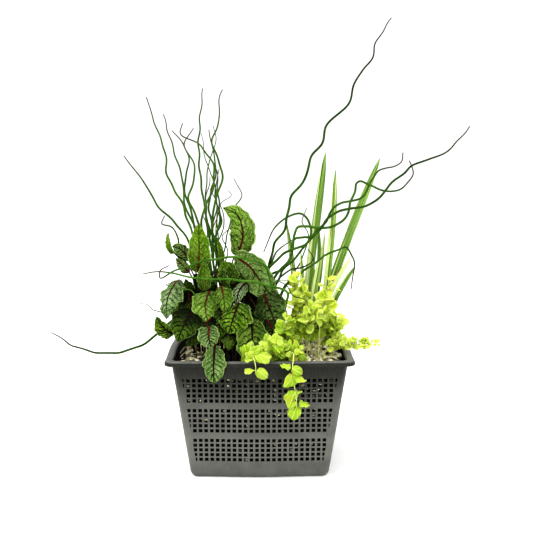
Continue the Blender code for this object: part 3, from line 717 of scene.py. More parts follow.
# Corkscrew rush grows as leafless round stems, each in its own twist: thin ones in a clump on the
# left, thicker, darker ones in the middle, and several that arch over or hang out past the rim.
STAND = 143.4
STRAIGHT_START = 5.0
FOOT_DEPTH = 3.0
RUSH_SWELL = 1.4
FOOT_SWELL = 0.15
FOOT_LENGTH = 14.0
RUSH_TIP = 0.42
RUSH_STEP = 2.4
CORKSCREW = 1.1
CORKSCREW_PITCH = 34.0
CORKSCREW_START = 30.0
CORKSCREW_RISE = 60.0
RUSH_SIDES = 10
RUSH_STEMS = {
    "rush_left_01": (1.15, 0.42, [(-66, 48), (-78, 45, 256), (-95, 51, 300), (-109, 56, 340),
        (-127, 59, 373), (-130, 57, 406), (-144, 53, 448), (-153, 50, 480)]),
    "rush_left_02": (1.15, 0.42, [(-70, 41), (-82, 36, 256), (-97, 31, 286), (-113, 25, 310),
        (-135, 21, 332), (-152, 24, 361), (-182, 30, 400)]),
    "rush_left_03": (1.15, 0.42, [(-62, 53), (-79, 56, 265), (-90, 60, 304), (-103, 64, 329),
        (-108, 70, 371), (-117, 68, 402), (-133, 66, 458)]),
    "rush_left_04": (1.15, 0.42, [(-60, 44), (-72, 41, 273), (-83, 39, 310), (-96, 36, 345), (-87, 36, 377),
        (-102, 39, 414), (-117, 40, 434)]),
    "rush_left_05": (1.15, 0.42, [(-68, 57), (-88, 64, 271), (-95, 70, 321), (-106, 79, 355),
        (-100, 82, 398), (-105, 84, 424), (-92, 85, 441)]),
    "rush_left_06": (1.15, 0.42, [(-55, 46), (-76, 48, 279), (-80, 47, 311), (-62, 42, 366), (-63, 37, 389),
        (-80, 30, 414), (-106, 23, 433), (-102, 20, 442)]),
    "rush_left_07": (1.15, 0.42, [(-55, 56), (-66, 58, 264), (-72, 62, 303), (-83, 74, 374), (-85, 74, 412),
        (-82, 72, 459), (-78, 70, 494)]),
    "rush_left_08": (1.15, 0.42, [(-49, 44), (-64, 44, 265), (-61, 34, 336), (-50, 31, 373), (-63, 32, 423),
        (-53, 34, 451), (-55, 35, 471), (-49, 36, 488)]),
    "rush_left_09": (1.15, 0.42, [(-52, 64), (-61, 68, 271), (-71, 87, 345), (-63, 91, 374),
        (-72, 95, 440)]),
    "rush_left_10": (1.15, 0.42, [(-46, 53), (-57, 53, 265), (-59, 57, 296), (-53, 60, 313), (-56, 62, 330),
        (-59, 64, 382)]),
    "rush_left_11": (1.15, 0.42, [(-74, 50), (-93, 46, 256), (-109, 38, 273), (-111, 31, 290),
        (-119, 28, 305), (-132, 26, 310), (-128, 25, 320)]),
    "rush_low_01": (1.15, 0.1, [(-78, 28), (-92, 12, 178), (-108, -4, 187), (-121, -14, 179),
        (-147, -38, 159), (-186, -55, 150), (-233, -52, 158), (-265, -40, 174)]),
    "rush_cross_01": (1.15, 0.62, [(4, -8), (15, -27, 232), (8, -30, 256), (-21, -32, 268), (-64, -37, 266),
        (-107, -43, 253), (-127, -44, 245), (-126, -45, 252), (-114, -46, 260)]),
    "rush_cross_02": (1.15, 0.62, [(24, -10), (33, -30, 204), (36, -37, 222), (10, -46, 235),
        (-31, -56, 243), (-75, -58, 245), (-132, -55, 253), (-146, -52, 250)]),
    "rush_right_01": (1.25, 0.1, [(-2, 28), (12, 25, 244), (20, 25, 281), (34, 27, 303), (42, 30, 343),
        (64, 35, 375), (69, 37, 398), (85, 40, 418), (90, 41, 440), (120, 43, 470), (131, 45, 504),
        (151, 47, 530), (157, 48, 551), (178, 50, 585)]),
    "rush_right_02": (1.25, 0.1, [(6, 15), (22, 14, 261), (33, 13, 270), (47, 12, 277), (61, 11, 282),
        (71, 9, 293), (83, 8, 306), (91, 6, 318), (103, 4, 326), (118, 2, 330), (140, -2, 334),
        (152, -6, 341), (164, -10, 355), (175, -14, 368), (188, -17, 378), (194, -19, 384), (235, -21, 401),
        (255, -21, 419), (267, -20, 435)]),
    "rush_right_03": (1.25, 0.3, [(8, 22), (28, 20, 248), (39, 19, 259), (44, 19, 275), (47, 18, 295),
        (51, 18, 305), (62, 18, 306), (84, 17, 304), (98, 16, 306), (111, 15, 314), (118, 14, 326),
        (122, 12, 340), (125, 9, 352), (128, 7, 363), (133, 5, 366), (143, 3, 362), (157, 0, 355),
        (171, -3, 353), (184, -5, 356), (193, -7, 364), (199, -8, 375), (197, -9, 384), (194, -9, 392)]),
    "rush_right_04": (1.25, 0.36, [(0, 36), (20, 36, 242), (33, 37, 247), (41, 38, 257), (44, 39, 269),
        (45, 39, 280), (49, 40, 288), (59, 41, 290), (71, 40, 291), (79, 38, 300), (91, 37, 312),
        (96, 35, 323), (102, 33, 332), (110, 30, 337), (125, 26, 340), (136, 22, 344), (143, 19, 353),
        (150, 16, 369), (156, 14, 379), (167, 12, 383), (178, 9, 386), (186, 7, 392), (189, 5, 403)]),
    "rush_arch_01": (1.25, 0.3, [(12, 40), (32, 46, 243), (60, 52, 273), (72, 54, 300), (57, 50, 322),
        (39, 46, 318), (21, 43, 303), (6, 40, 270)]),
    "rush_arch_02": (1.15, 0.3, [(18, 12), (34, 8, 226), (60, 0, 249), (102, -10, 277), (113, -9, 280),
        (122, -8, 267), (121, -5, 225)]),
}
YOUNG_STEMS = (
    (0.8, [(-58, 60), (-74, 72, 296), (-76, 84, 352), (-72, 94, 394), (-62, 96, 428), (-66, 97, 446)]),
    (0.75, [(-50, 66), (-60, 80, 300), (-64, 92, 362), (-78, 104, 400), (-83, 104, 436)]),
    (0.8, [(-44, 50), (-49, 50, 272), (-42, 44, 303), (-35, 40, 330), (-24, 38, 348), (-31, 37, 363),
        (-35, 36, 370)]),
    (0.9, [(-64, 38), (-70, 38, 240), (-76, 36, 268), (-70, 34, 296), (-78, 33, 322)]),
    (0.8, [(-56, 38), (-60, 36, 232), (-52, 34, 262), (-60, 32, 290), (-54, 32, 318), (-60, 33, 340)]),
    (0.9, [(-66, 62), (-78, 68, 250), (-70, 72, 290), (-76, 76, 330), (-70, 80, 372)]),
    (0.8, [(-48, 58), (-52, 62, 246), (-60, 66, 276), (-50, 70, 304), (-56, 72, 340)]),
    (0.9, [(-54, 48), (-62, 46, 240), (-56, 42, 270), (-66, 40, 300), (-58, 38, 330), (-66, 38, 356)]),
    (0.95, [(-50, 52), (-56, 54, 250), (-64, 58, 280), (-55, 60, 312), (-62, 64, 350), (-56, 66, 384)]),
    (0.9, [(-60, 58), (-66, 62, 236), (-58, 66, 262), (-66, 70, 292), (-58, 74, 324)]),
    (0.7, [(-46, 46), (-50, 44, 244), (-44, 40, 268), (-50, 38, 292), (-40, 36, 306), (-36, 35, 318)]),
    (0.6, [(-56, 34), (-60, 32, 250), (-58, 30, 311), (-51, 30, 338), (-38, 30, 348), (-43, 30, 354)]),
    (0.6, [(-82, -32), (-96, -48, 190), (-109, -60, 207), (-118, -60, 203), (-128, -60, 205),
        (-134, -60, 206), (-140, -60, 212), (-149, -60, 214)]),
    (0.6, [(-72, -30), (-78, -42, 200), (-88, -50, 230), (-100, -50, 231), (-117, -50, 236),
        (-98, -50, 241)]),
    (1.2, [(0, 28), (11, 26, 242), (20, 26, 266), (34, 26, 281), (44, 26, 287)]),
    (1.0, [(12, 30), (20, 30, 222), (40, 28, 246), (58, 26, 250), (72, 22, 262), (66, 18, 276)]),
    (0.6, [(16, 20), (17, 8, 214), (20, 0, 236), (32, 0, 235), (41, 0, 238), (44, 0, 247)]),
    (0.8, [(20, 26), (34, 30, 220), (58, 34, 262), (66, 36, 296), (58, 36, 312), (64, 36, 330)]),
    (0.6, [(14, 6), (16, -14, 214), (22, -30, 238), (33, -30, 234), (43, -30, 219), (58, -30, 214),
        (67, -30, 198)]),
)


def square_to(ways):
    """Two directions square to each way and to each other. The first is also square to one fixed
    direction, the one that the whole run points along least, so it turns smoothly along the run."""
    first = unit(np.cross(ways, np.linalg.svd(ways)[2][-1]))
    return first, np.cross(ways, first)


def tube(centres, radii, sides):
    """A round closed tube: a ring of points about each centre, square to the way the centres run."""
    ways = unit(np.gradient(centres, axis=0))
    first, second = square_to(ways)
    turn = 2 * np.pi * np.arange(sides) / sides
    spokes = np.cos(turn)[:, None] * first[:, None] + np.sin(turn)[:, None] * second[:, None]
    rings = centres[:, None] + radii[:, None, None] * spokes
    return closed_grid(rings, centres[0], centres[-1] + ways[-1] * radii[-1])


def rooted(route):
    """A route's knots: its foot, given on plan, comes straight up out of the stones first."""
    return [(*route[0], STAND - FOOT_DEPTH), (*route[0], STAND + STRAIGHT_START), *route[1:]]


def by_ring(numbers, rows, columns):
    """Spreads one set of numbers a ring over the points of a closed grid and its two poles."""
    numbers = np.broadcast_to(np.asarray(numbers, float), (rows, 3))
    return np.vstack([np.repeat(numbers, columns, axis=0), numbers[:1], numbers[-1:]])


def rush_stem(radius, tone, route):
    """A stem from the stones up along its route, with a slight corkscrew laid over it, thinning to a
    blunt tip by the fourth power of its share of the way. Its values are millimetres from the foot,
    that share, and the stem's own tone."""
    knots = rooted(route)
    length = distances(knots)[-1]
    where = np.linspace(0, length, int(length / RUSH_STEP))
    share = where / length
    swell = RUSH_SWELL * (1 + FOOT_SWELL * np.exp(-where / FOOT_LENGTH))
    radii = radius * swell * (1 - (1 - RUSH_TIP) * share ** 4)
    turn = 2 * np.pi * where / CORKSCREW_PITCH + route[0][0] + route[0][1]
    twist = np.stack([np.cos(turn), np.sin(turn), 0.3 * np.sin(turn)], axis=1)
    grown = CORKSCREW * np.clip((where - CORKSCREW_START) / CORKSCREW_RISE, 0, 1)
    twist *= (grown * (0.6 + 0.4 * np.sin(where / 47 + route[0][0])))[:, None]
    points, faces = tube(along(knots, where) + twist, radii, RUSH_SIDES)
    values = np.stack([where, share, np.full(len(where), tone)], axis=1)
    return points, faces, by_ring(values, len(where), RUSH_SIDES)


def rush_skin():
    """Smooth, ribbed green stem: straw and red-brown at the sheathed foot, grey-brown at the tip."""
    paint, tree = new_material("rush_skin")
    length, share, tone = three_of(label_vector(tree, "stem"))
    green = mottled(tree, (0.011, 0.042, 0.001), (0.036, 0.1, 0.003), 70.0, 600.0)
    young = mottled(tree, (0.04, 0.13, 0.008), (0.11, 0.24, 0.03), 60.0, 500.0)
    body = blend(tone, green["Colour"], young["Colour"])
    patchy = plus(share, times(green["Mask"], 0.06))
    dark = times(ramp(share, 0.3, 0.9, 0.0, 0.8), ramp(tone, 0.05, 0.3, 1.0, 0.3))
    dusky = blend(dark, body, (0.007, 0.012, 0.003))
    tipped = blend(ramp(patchy, 0.86, 1.02), dusky, (0.07, 0.05, 0.04))
    sheath = blend(ramp(length, 4.0, 15.0), (0.25, 0.12, 0.045), (0.3, 0.34, 0.12))
    whole = blend(ramp(length, 12.0, 42.0), sheath, tipped)
    return finish_paint(paint, whole, 0.5, 0.05, (green["Height"], 0.3, 0.0002))


RUSH_PAINT = rush_skin()
for number, (name, (radius, tone, route)) in enumerate(RUSH_STEMS.items()):
    stem = rush_stem(radius, tone + 0.1 * math.sin(2.4 * number + 2), route)
    put_piece(name + "_stem", stem, [RUSH_PAINT], [name], ["stem"])
young = join_shapes([rush_stem(radius, 0.4 + 0.2 * math.sin(2 * number), route)
                     for number, (radius, route) in enumerate(YOUNG_STEMS)])
put_piece("rush_young_stems", young, [RUSH_PAINT], labels=["stem"])


# Red-veined dock makes a rosette of thin puckered leaves on slim stalks. The midrib and the side
# veins are maroon, near black where they are thick; the oldest leaves arch over and hang down.
DOCK_THICKNESS = 0.7
DOCK_STALK = 1.25
DOCK_ROWS = 54
DOCK_ACROSS = 33
DOCK_VEINS = 7.5
DOCK_FOLD = 0.24
DOCK_TAPER = 1.35
DOCK_WIDEST = 0.37
WIDEST_AT = {"dock_leaf_11": 0.48, "dock_leaf_12": 0.6, "dock_leaf_15": 0.5, "dock_leaf_16": 0.5}
DOCK_LOBES = ((0.06, 3.3), (0.025, 8.7))
DOCK_PUFF = 1.5
DOCK_BLISTERS = ((0.34, 7.0), (0.22, 4.2))
MIDRIB = 1.1
MIDRIB_SHARE = 0.93
THINNEST_RIB = 0.16
DOCK_RUFFLE = 1.4
DOCK_RUFFLES = ((1.0, 2.7, 1.3, 3), (0.6, 6.1, 2.6, 4), (0.35, 10.3, 3.9, 6))
STALK_SIDES = 8
# The near black of the dock's painted shade.
PAINTED_SHADE_BLACK = (0.001, 0.003, 0.0005)
DOCK_LEAVES = {
    "dock_leaf_01": (30, (1, 0.1, 0), [(-76, -6)], [(-80, -10, 247), (-79, -8, 278), (-80, -2, 311)],
        (1, 0.1, 0.9), (0.62, 0.5, 0, 0)),
    "dock_leaf_02": (37, (0.9, -0.3, 0.3), [(-32, 11)], [(-29, 11, 266), (-22, 11, 298), (-30, 14, 322),
        (-49, 18, 331)], (1, -0.15, 2.6), (0.8, 0.9, 0.2, 0)),
    "dock_leaf_03": (22, (0.5, -0.3, 0.8), [(-86, 10)], [(-93, 9, 262), (-104, 12, 275), (-117, 17, 280)],
        (1, 0.2, 1.2), (1, 0.8, 0.6, 0)),
    "dock_leaf_04": (15, (0.6, -0.3, 0.7), [(-84, -1)], [(-93, 0, 246), (-111, 3, 265)], (1, 0.1, 1),
        (1, 0.7, 0.6, 0)),
    "dock_leaf_05": (36, (0.9, -0.45, 0.2), [(-86, -18), (-94, -20, 222)], [(-103, -24, 239),
        (-117, -34, 218), (-119, -44, 191)], (-1, 0.15, 1.8), (0.5, 0.8, 1.0, 0)),
    "dock_leaf_06": (24, (0.6, -0.4, 0.6), [(-84, -34), (-96, -38, 166)], [(-109, -42, 172),
        (-121, -47, 181), (-130, -50, 196)], (1, 0.2, 1), (0.7, 1, 0, 0)),
    "dock_leaf_07": (42, (0.85, -0.4, -0.4), [(-70, -42), (-76, -50, 194)], [(-82, -58, 203),
        (-93, -70, 189), (-101, -76, 169)], (-1, -0.2, 1.6), (0.3, 1, 0, 0.7)),
    "dock_leaf_08": (37, (1, 0.1, 0.1), [(-60, -32), (-60, -38, 214)], [(-62, -44, 227), (-68, -60, 212),
        (-64, -68, 190)], (-1, 0.2, 1.5), (0.55, 0.6, 0.15, 0)),
    "dock_leaf_09": (25, (1, -0.2, 0), [(-48, -34), (-50, -42, 226)], [(-49, -48, 234), (-45, -60, 222),
        (-43, -66, 203)], (-1, 0.35, 1), (0.5, 0.55, 0.1, 0)),
    "dock_leaf_10": (17, (0.8, -0.3, -0.5), [(-18, -32), (-14, -36, 226)], [(-16, -42, 237),
        (-25, -53, 230), (-30, -57, 212)], (-1, 0.5, 0.8), (1, 1, 2, 0)),
    "dock_leaf_11": (43, (1, -0.1, 0.3), [(-28, -46), (-24, -54, 206)], [(-25, -60, 214), (-32, -76, 199),
        (-38, -82, 180)], (-1, 0.1, 1.8), (0.5, 1, 0, 0.15)),
    "dock_leaf_12": (41, (1, 0, 0), [(-12, -48), (-10, -54, 186)], [(-10, -62, 195), (-9, -84, 175),
        (-6, -95, 147)], (-1, -0.2, 1.6), (0.72, 1, 0.1, 0.32)),
    "dock_leaf_13": (42, (0.9, -0.2, 0.35), [(0, -22), (2, -24, 210)], [(4, -28, 220), (13, -44, 204),
        (24, -54, 173)], (-1, 0.1, 1.8), (0.35, 0.9, 0.3, 0.45)),
    "dock_leaf_14": (42, (0.7, 0.35, 0.5), [(-24, -4), (-36, -6, 254)], [(-34, -6, 266), (-15, -10, 256),
        (5, -13, 230), (27, -17, 202)], (-1, -0.15, 1.8), (0.45, 0.85, 0.4, 0)),
    "dock_leaf_15": (26, (1, 0, 0.1), [(-64, -60), (-65, -78, 182)], [(-62, -88, 189), (-61, -100, 180),
        (-58, -104, 167)], (-1, -0.6, 0.8), (0.6, 0.8, 0.7, 0)),
    "dock_leaf_16": (28, (1, -0.1, 0), [(-48, -66), (-51, -90, 166)], [(-53, -106, 171), (-54, -121, 154),
        (-54, -121, 128)], (-1, 0.1, 1.2), (0.3, 1, 0.5, 0)),
    "dock_leaf_17": (18, (1, 0, 0), [(-36, -56), (-40, -60, 172)], [(-40, -66, 176), (-38, -80, 170),
        (-38, -86, 160)], (-1, 0.1, 0.8), (0.2, 0.2, 0, 0.5)),
    "dock_leaf_18": (19, (1, 0.1, 0), [(-68, -18)], [(-71, -24, 225), (-72, -20, 242), (-71, -15, 261)],
        (1, 0.2, 0.8), (0.35, 0.15, 0, 0.15)),
    "dock_leaf_19": (28, (1, 0.2, 0), [(-40, -16)], [(-41, -20, 233), (-42, -19, 249), (-48, -14, 263)],
        (1, 0.2, 0.8), (0.25, 0.15, 0, 0.25)),
    "dock_leaf_20": (27, (0.7, 0.7, 0), [(-82, 30), (-92, 36, 190)], [(-99, 42, 203), (-110, 54, 196),
        (-116, 63, 178)], (-1, 0.1, 1.2), (0.5, 1, 0, 0)),
}
YOUNG_DOCK_LEAVES = (
    (10, (0.5, -0.5, 0.3), [(-84, 6), (-100, 2, 262)], [(-112, -4, 272), (-118, -2, 288), (-120, 0, 299)],
        (1, 0.8, 0.5), (1, 0.1, 0, 0)),
    (27, (1, -0.3, 0.2), [(-78, -24)], [(-92, -22, 222), (-90, -34, 212), (-86, -42, 198)], (-1, 0.1, 1.2),
        (0.3, 0.7, 0, 0.85)),
    (26, (1, 0, 0.1), [(-44, -46), (-46, -52, 196)], [(-47, -58, 205), (-49, -70, 192), (-52, -78, 171)],
        (-1, 0.1, 1.2), (0.35, 1, 0, 0.5)),
    (24, (0.8, -0.4, 0.4), [(-80, -12)], [(-83, -18, 212), (-89, -20, 224), (-96, -20, 240)], (1, 0.2, 1.2),
        (0.2, 0.4, 0, 0.85)),
    (34, (0.9, -0.2, 0.3), [(-16, -14)], [(-13, -8, 214), (-5, -18, 202), (4, -28, 182)], (-1, 0.1, 1.2),
        (0, 0.3, 0, 0.9)),
    (34, (1, 0, 0.2), [(-34, -24)], [(-31, -20, 190), (-25, -36, 178), (-18, -46, 156)], (-1, 0.1, 1.2),
        (0.05, 0.4, 0, 0.92)),
    (26, (0.8, -0.3, 0.3), [(-62, -36)], [(-70, -44, 180), (-80, -56, 174), (-93, -62, 160)],
        (-1, 0.1, 1.2), (0.15, 0.8, 0, 0.7)),
    (30, (0.8, 0.2, 0.5), [(-56, 4)], [(-62, 10, 210), (-74, 14, 224), (-88, 20, 242)], (1, 0.2, 1.2),
        (0.1, 0.4, 0, 0.5)),
    (32, (0.9, 0.2, -0.3), [(-28, 14)], [(-27, 16, 208), (-18, 22, 226), (-8, 26, 248)], (1, 0.2, 1.2),
        (0.15, 0.5, 0, 0.5)),
    (24, (0.9, -0.2, 0.2), [(-56, -52)], [(-59, -64, 198), (-66, -70, 190), (-73, -74, 176)], (-1, 0.1, 1),
        (0.2, 0.9, 0, 0.75)),
    (28, (1, -0.1, 0.1), [(4, -44)], [(9, -54, 192), (15, -64, 184), (14, -72, 164)], (-1, 0.1, 1.2),
        (0.15, 0.8, 0, 0.6)),
    (24, (0.5, -0.7, 0.5), [(-56, -10)], [(-60, -12, 245), (-50, -22, 240), (-38, -30, 230)], (-1, 0.1, 1),
        (0.3, 0.4, 0, 0.5)),
    (34, (1, 0.1, 0), [(-46, 20)], [(-48, 22, 190), (-52, 34, 206), (-58, 50, 196)], (1, 0.1, 1.4),
        (0.4, 0.9, 0, 0.5)),
    (32, (1, -0.1, 0), [(-10, 20)], [(-6, 26, 196), (2, 38, 206), (10, 52, 190)], (1, 0.1, 1.4),
        (0.45, 0.8, 0, 0.5)),
    (30, (0.7, 0.5, 0.1), [(-70, 16)], [(-76, 22, 180), (-84, 36, 184), (-92, 50, 168)], (-1, 0.1, 1.4),
        (0.4, 0.9, 0, 0.5)),
    (22, (1, 0, 0.1), [(-20, -44)], [(-18, -56, 178), (-22, -66, 176), (-28, -74, 162)], (-1, 0.1, 1),
        (0.1, 0.5, 0, 0.9)),
    (30, (1, 0, 0.2), [(-50, -20)], [(-52, -24, 196), (-56, -34, 200), (-60, -46, 186)], (-1, 0.1, 1.2),
        (0.1, 0.5, 0, 0.8)),
    (32, (1, 0.1, 0), [(-30, -10)], [(-30, -14, 222), (-34, -18, 240), (-40, -20, 256)], (1, 0.2, 1.2),
        (0.15, 0.4, 0, 0.6)),
    (30, (1, 0.1, 0.1), [(-24, -4)], [(-22, -6, 206), (-16, -5, 224), (-8, 0, 242)], (1, 0.2, 1.2),
        (0, 0.3, 0, 0.9)),
    (8, (1, 0.2, 0), [(-50, -8), (-50, -4, 236)], [(-49, -2, 258), (-52, 0, 276), (-56, 2, 292)],
        (1, 0.5, 0.5), (0.7, 0.2, 0, 0)),
)


def dock_width(v, widest):
    """Share of the full width along a blade: a power of the way from the stalk times a power of the
    way left to the tip, whose exponents set where it is widest, divided by what they give there."""
    rise, fall = DOCK_TAPER * widest, DOCK_TAPER * (1 - widest)
    return (v / widest) ** rise * ((1 - v) / (1 - widest)) ** fall


def dock_phase(v, edge):
    """A count of side veins: whole on each vein, which leaves the midrib and bends towards the tip."""
    return DOCK_VEINS * (v - 0.12 * edge - 0.12 * edge ** 2)


def with_poles(values, column):
    """Values on a closed grid as one row a point; the poles take theirs from a column of the end rows."""
    return np.vstack([values.reshape(-1, values.shape[2]), values[0, column], values[-1, column]])


def dock_blade(number, widest, width, across, knots, marks, start, shape, look):
    """One blade as a closed skin with values for its veins. The face is folded along the midrib and
    curled by the square of u; it puffs up between the side veins, is blistered all over, and waves
    more and more towards its edges in three sine waves."""
    face, curl, ruffle = shape
    length = marks[-1] - start
    v = 0.5 * (1 - np.cos(np.linspace(0.07, np.pi - 0.07, DOCK_ROWS)))
    where = start + v * length
    lobes = 1 + sum(size * np.sin(2 * np.pi * turns * v + order * number)
                    for order, (size, turns) in enumerate(DOCK_LOBES, 1))
    halves = width / 2 * dock_width(v, widest) * lobes

    def lifts(u, where):
        edge = np.abs(u)
        reach = halves[:, None]
        phase = dock_phase(v[:, None], edge)
        flat = np.stack(np.broadcast_arrays(reach * u, where[:, None], number * 50.0), axis=2)
        puff = np.sin(np.pi * phase) ** 2 * np.sqrt(edge) * (1 - edge ** 6) * np.minimum(width / 30, 1.0)
        wave = sum(size * np.sin(2 * np.pi * turns * v[:, None] + lead * np.sign(u) + number) * edge ** power
                   for size, turns, lead, power in DOCK_RUFFLES)
        rise = reach * (DOCK_FOLD * (np.sqrt(u ** 2 + 0.01) - 0.1) + curl * u ** 2)
        grown = np.minimum(1, 4 * v * (1 - v) + 0.15)[:, None]
        blisters = sum(size * waves(flat, spread, number + order)
                       for order, (size, spread) in enumerate(DOCK_BLISTERS))
        return rise + face * (DOCK_PUFF * puff + blisters) * grown + ruffle * DOCK_RUFFLE * wave * grown

    rings, u = flat_blade(knots, where, across, halves, lifts, DOCK_THICKNESS, DOCK_ACROSS)
    points, faces = closed_grid(rings, *along(knots, [start, marks[-1]]))
    edge = np.abs(u)
    rows, columns = rings.shape[:2]
    phase = dock_phase(v[:, None], edge) + 0.4 * (u > 0)
    values = np.stack(np.broadcast_arrays(halves[:, None] * edge, phase, length / DOCK_VEINS,
                                          edge, v[:, None], *look), axis=2)
    values = with_poles(values, DOCK_ACROSS // 2)
    on_normal_side = np.tile(np.arange(columns) < DOCK_ACROSS - 1, rows + 1)
    return points, faces, values, np.where(on_normal_side == (face > 0), 0, 1)


def dock_stalk(knots, marks, start, look):
    """The stalk, which runs on under the blade as its midrib and thins to nothing near the tip."""
    end = start + MIDRIB_SHARE * (marks[-1] - start)
    where = np.concatenate([np.linspace(0, start, max(8, int(start / 4)), endpoint=False),
                            np.linspace(start, end, 30)])
    share = np.clip((where - start) / (end - start), 0, 1)
    radii = np.maximum(DOCK_STALK * (1 - 0.25 * where / start) * (where <= start)
                       + MIDRIB * (1 - share) ** 0.9 * (where > start), THINNEST_RIB)
    points, faces = tube(along(knots, where), radii, STALK_SIDES)
    numbers = by_ring(np.stack([where, share, np.full(len(where), look[1])], axis=1), len(where), STALK_SIDES)
    return points, faces, np.pad(numbers, ((0, 0), (3, 3))), np.full(len(faces), 2)


def dock_vein_group():
    """Where the veins run. Side veins lie at whole phases and thin towards the edge; each sends a fork
    half a phase on; loops join them short of the edge; a fine net fills what is left. The halo output
    is painted shade in a wider band along each side vein. The last output is painted shade in the
    heart of the rosette, an upright egg about its middle, where the leaves are painted dark."""
    group, source, sink = new_group(
        "dock_veins", {"Veins": "Vector", "Shares": "Vector"},
        {"Lines": "Float", "CreaseShade": "Float", "Net": "Float", "Rim": "Float", "HeartShade": "Float"})
    across, phase, spacing = three_of(source.outputs["Veins"])
    edge, way = three_of(source.outputs["Shares"])[:2]
    place = object_place(group)
    stray = noise(place, 110.0, 3.0)
    bent = plus(phase, times(less(stray, 0.5), 1.9))

    def line(count, thick, thin):
        """A line on whole counts, its half width in millimetres falling from the midrib to the edge."""
        off = less(calc("FRACT", plus(count, 0.5)), 0.5)
        gap = times(calc("ABSOLUTE", off), spacing)
        half = ramp(edge, 0.0, 1.0, thick, thin)
        return ramp(gap, times(half, 0.5), times(half, 1.5), 1.0, 0.0)

    side = line(bent, 0.62, 0.16)
    fork_count = less(bent, ramp(edge, 0.3, 0.8, 0.0, 0.5))
    fork = times(line(fork_count, 0.4, 0.2), ramp(edge, 0.25, 0.4))
    swing = times(calc("COSINE", times(bent, 6.283)), 0.05)
    loop_gap = calc("ABSOLUTE", less(plus(edge, swing), 0.82))
    loops = ramp(loop_gap, 0.01, 0.03, 0.6, 0.0)
    middle = ramp(plus(across, times(way, 1.2)), 1.3, 2.1, 1.0, 0.0)
    worn = ramp(stray, 0.38, 0.56, 0.35, 1.0)
    drawn = times(largest(side, fork, loops), worn)
    cells = add_node(group, "ShaderNodeTexVoronoi", {"Vector": place, "Scale": 290.0},
                     feature="DISTANCE_TO_EDGE")
    # Painted shade: the egg about the rosette's middle, dark inside.
    egg = scaled(place, (16.7, 16.7, 13.3), (0.75, 0.08, -2.2))
    reach = add_node(group, "ShaderNodeVectorMath", {0: egg}, operation="LENGTH").outputs["Value"]
    set_sockets(sink, {"Lines": largest(drawn, middle),
                       "CreaseShade": line(bent, 1.5, 0.8),
                       "Net": ramp(cells.outputs["Distance"], 0.0, 0.35, 1.0, 0.0),
                       "Rim": ramp(edge, 0.88, 0.95),
                       "HeartShade": ramp(reach, 0.55, 1.15, 1.0, 0.0)})
    return group


DOCK_VEIN_GROUP = dock_vein_group()


def dock_face(name, greens, vein, halo, rim, vein_share, roughness):
    """One face of a dock leaf: two greens by the leaf's own tone, mottled, with veins, a painted sheen,
    painted highlights, and painted shade in halos along the veins, towards the base of shaded leaves
    and in the heart of the rosette.
    """
    paint, tree = new_material(name)
    shares = label_vector(tree, "shares")
    way, tone = three_of(shares)[1:]
    strength, painted_sheen, shade = three_of(label_vector(tree, "looks"))
    sockets = {"Veins": label_vector(tree, "veins"), "Shares": shares}
    lines = add_node(tree, "ShaderNodeGroup", sockets, node_tree=DOCK_VEIN_GROUP).outputs
    dull = mottled(tree, greens[0], greens[1], 70.0, 420.0)
    fresh = mottled(tree, greens[2], greens[3], 70.0, 420.0)
    clear = blend(tone, dull["Colour"], fresh["Colour"])
    # Painted sheen: a pale grey-green reflection, blended in by the second value of the looks.
    green = blend(times(painted_sheen, 0.7), clear, (0.26, 0.38, 0.19))
    # Painted highlights: pale patches where the mottle is light, stronger on leaves with more sheen.
    shine = times(ramp(dull["Mask"], 0.55, 1.0, 0.0, 0.5), plus(painted_sheen, 0.12))
    glinted = blend(shine, green, (0.46, 0.57, 0.33))
    old = blend(ramp(way, 0.0, 0.8, 0.55, 0.0), glinted, halo)
    # Painted highlights: the middles of the blister cells are lighter.
    blister_highlights = blend(ramp(lines["Net"], 0.0, 0.9, 0.3, 0.0), old, rim)
    netted = blend(times(lines["Net"], 0.36), blister_highlights, halo)
    # Painted shade in the crease along each side vein, by the halo band.
    shaded = blend(times(lines["CreaseShade"], strength, 0.55 * vein_share), netted, halo)
    rimmed = blend(times(lines["Rim"], 0.8), shaded, rim)
    drawn = times(lines["Lines"], vein_share, ramp(strength, 0.0, 1.0, 0.35, 1.0))
    veined = blend(drawn, rimmed, vein)
    # Painted shade: the leaf's own shade value, stronger towards its base, and the heart of the rosette blend
    # the leaf to near black.
    shadow = times(shade, ramp(way, 0.1, 0.9, 1.4, 0.55))
    deep = largest(times(lines["HeartShade"], 0.95), shadow)
    waxy = ramp(dull["Mask"], 0.0, 1.0, roughness - 0.08, roughness + 0.1)
    sunk = plus(lines["Net"], times(lines["Lines"], 0.8))
    height = less(times(dull["Height"], 0.4), sunk)
    return finish_paint(paint, blend(deep, veined, PAINTED_SHADE_BLACK), waxy, 0.03, (height, 0.8, 0.0007))


def dock_stem_skin():
    """Stalk and midrib: the ribbed stalk is painted near black as the shade under the rosette; the
    midrib is flushed with red, deep maroon where it runs under a blade, pale green on faint leaves.
    """
    paint, tree = new_material("dock_stem_skin")
    share, strength = three_of(label_vector(tree, "shares"))[1:]
    # Painted shade: the stalk is near black.
    stalk = mottled(tree, (0.008, 0.002, 0.002), (0.005, 0.01, 0.002), 30.0, 300.0)
    rib = mottled(tree, (0.05, 0.001, 0.003), (0.13, 0.006, 0.01), 40.0, 300.0)
    dark_rib = blend(ramp(strength, 0.85, 1.0), rib["Colour"], (0.022, 0.0015, 0.004))
    pale_rib = blend(ramp(strength, 0.1, 0.4), (0.09, 0.12, 0.02), dark_rib)
    whole = blend(ramp(share, 0.0, 0.04), stalk["Colour"], pale_rib)
    return finish_paint(paint, whole, 0.42, 0.03, (stalk["Height"], 0.4, 0.0004))


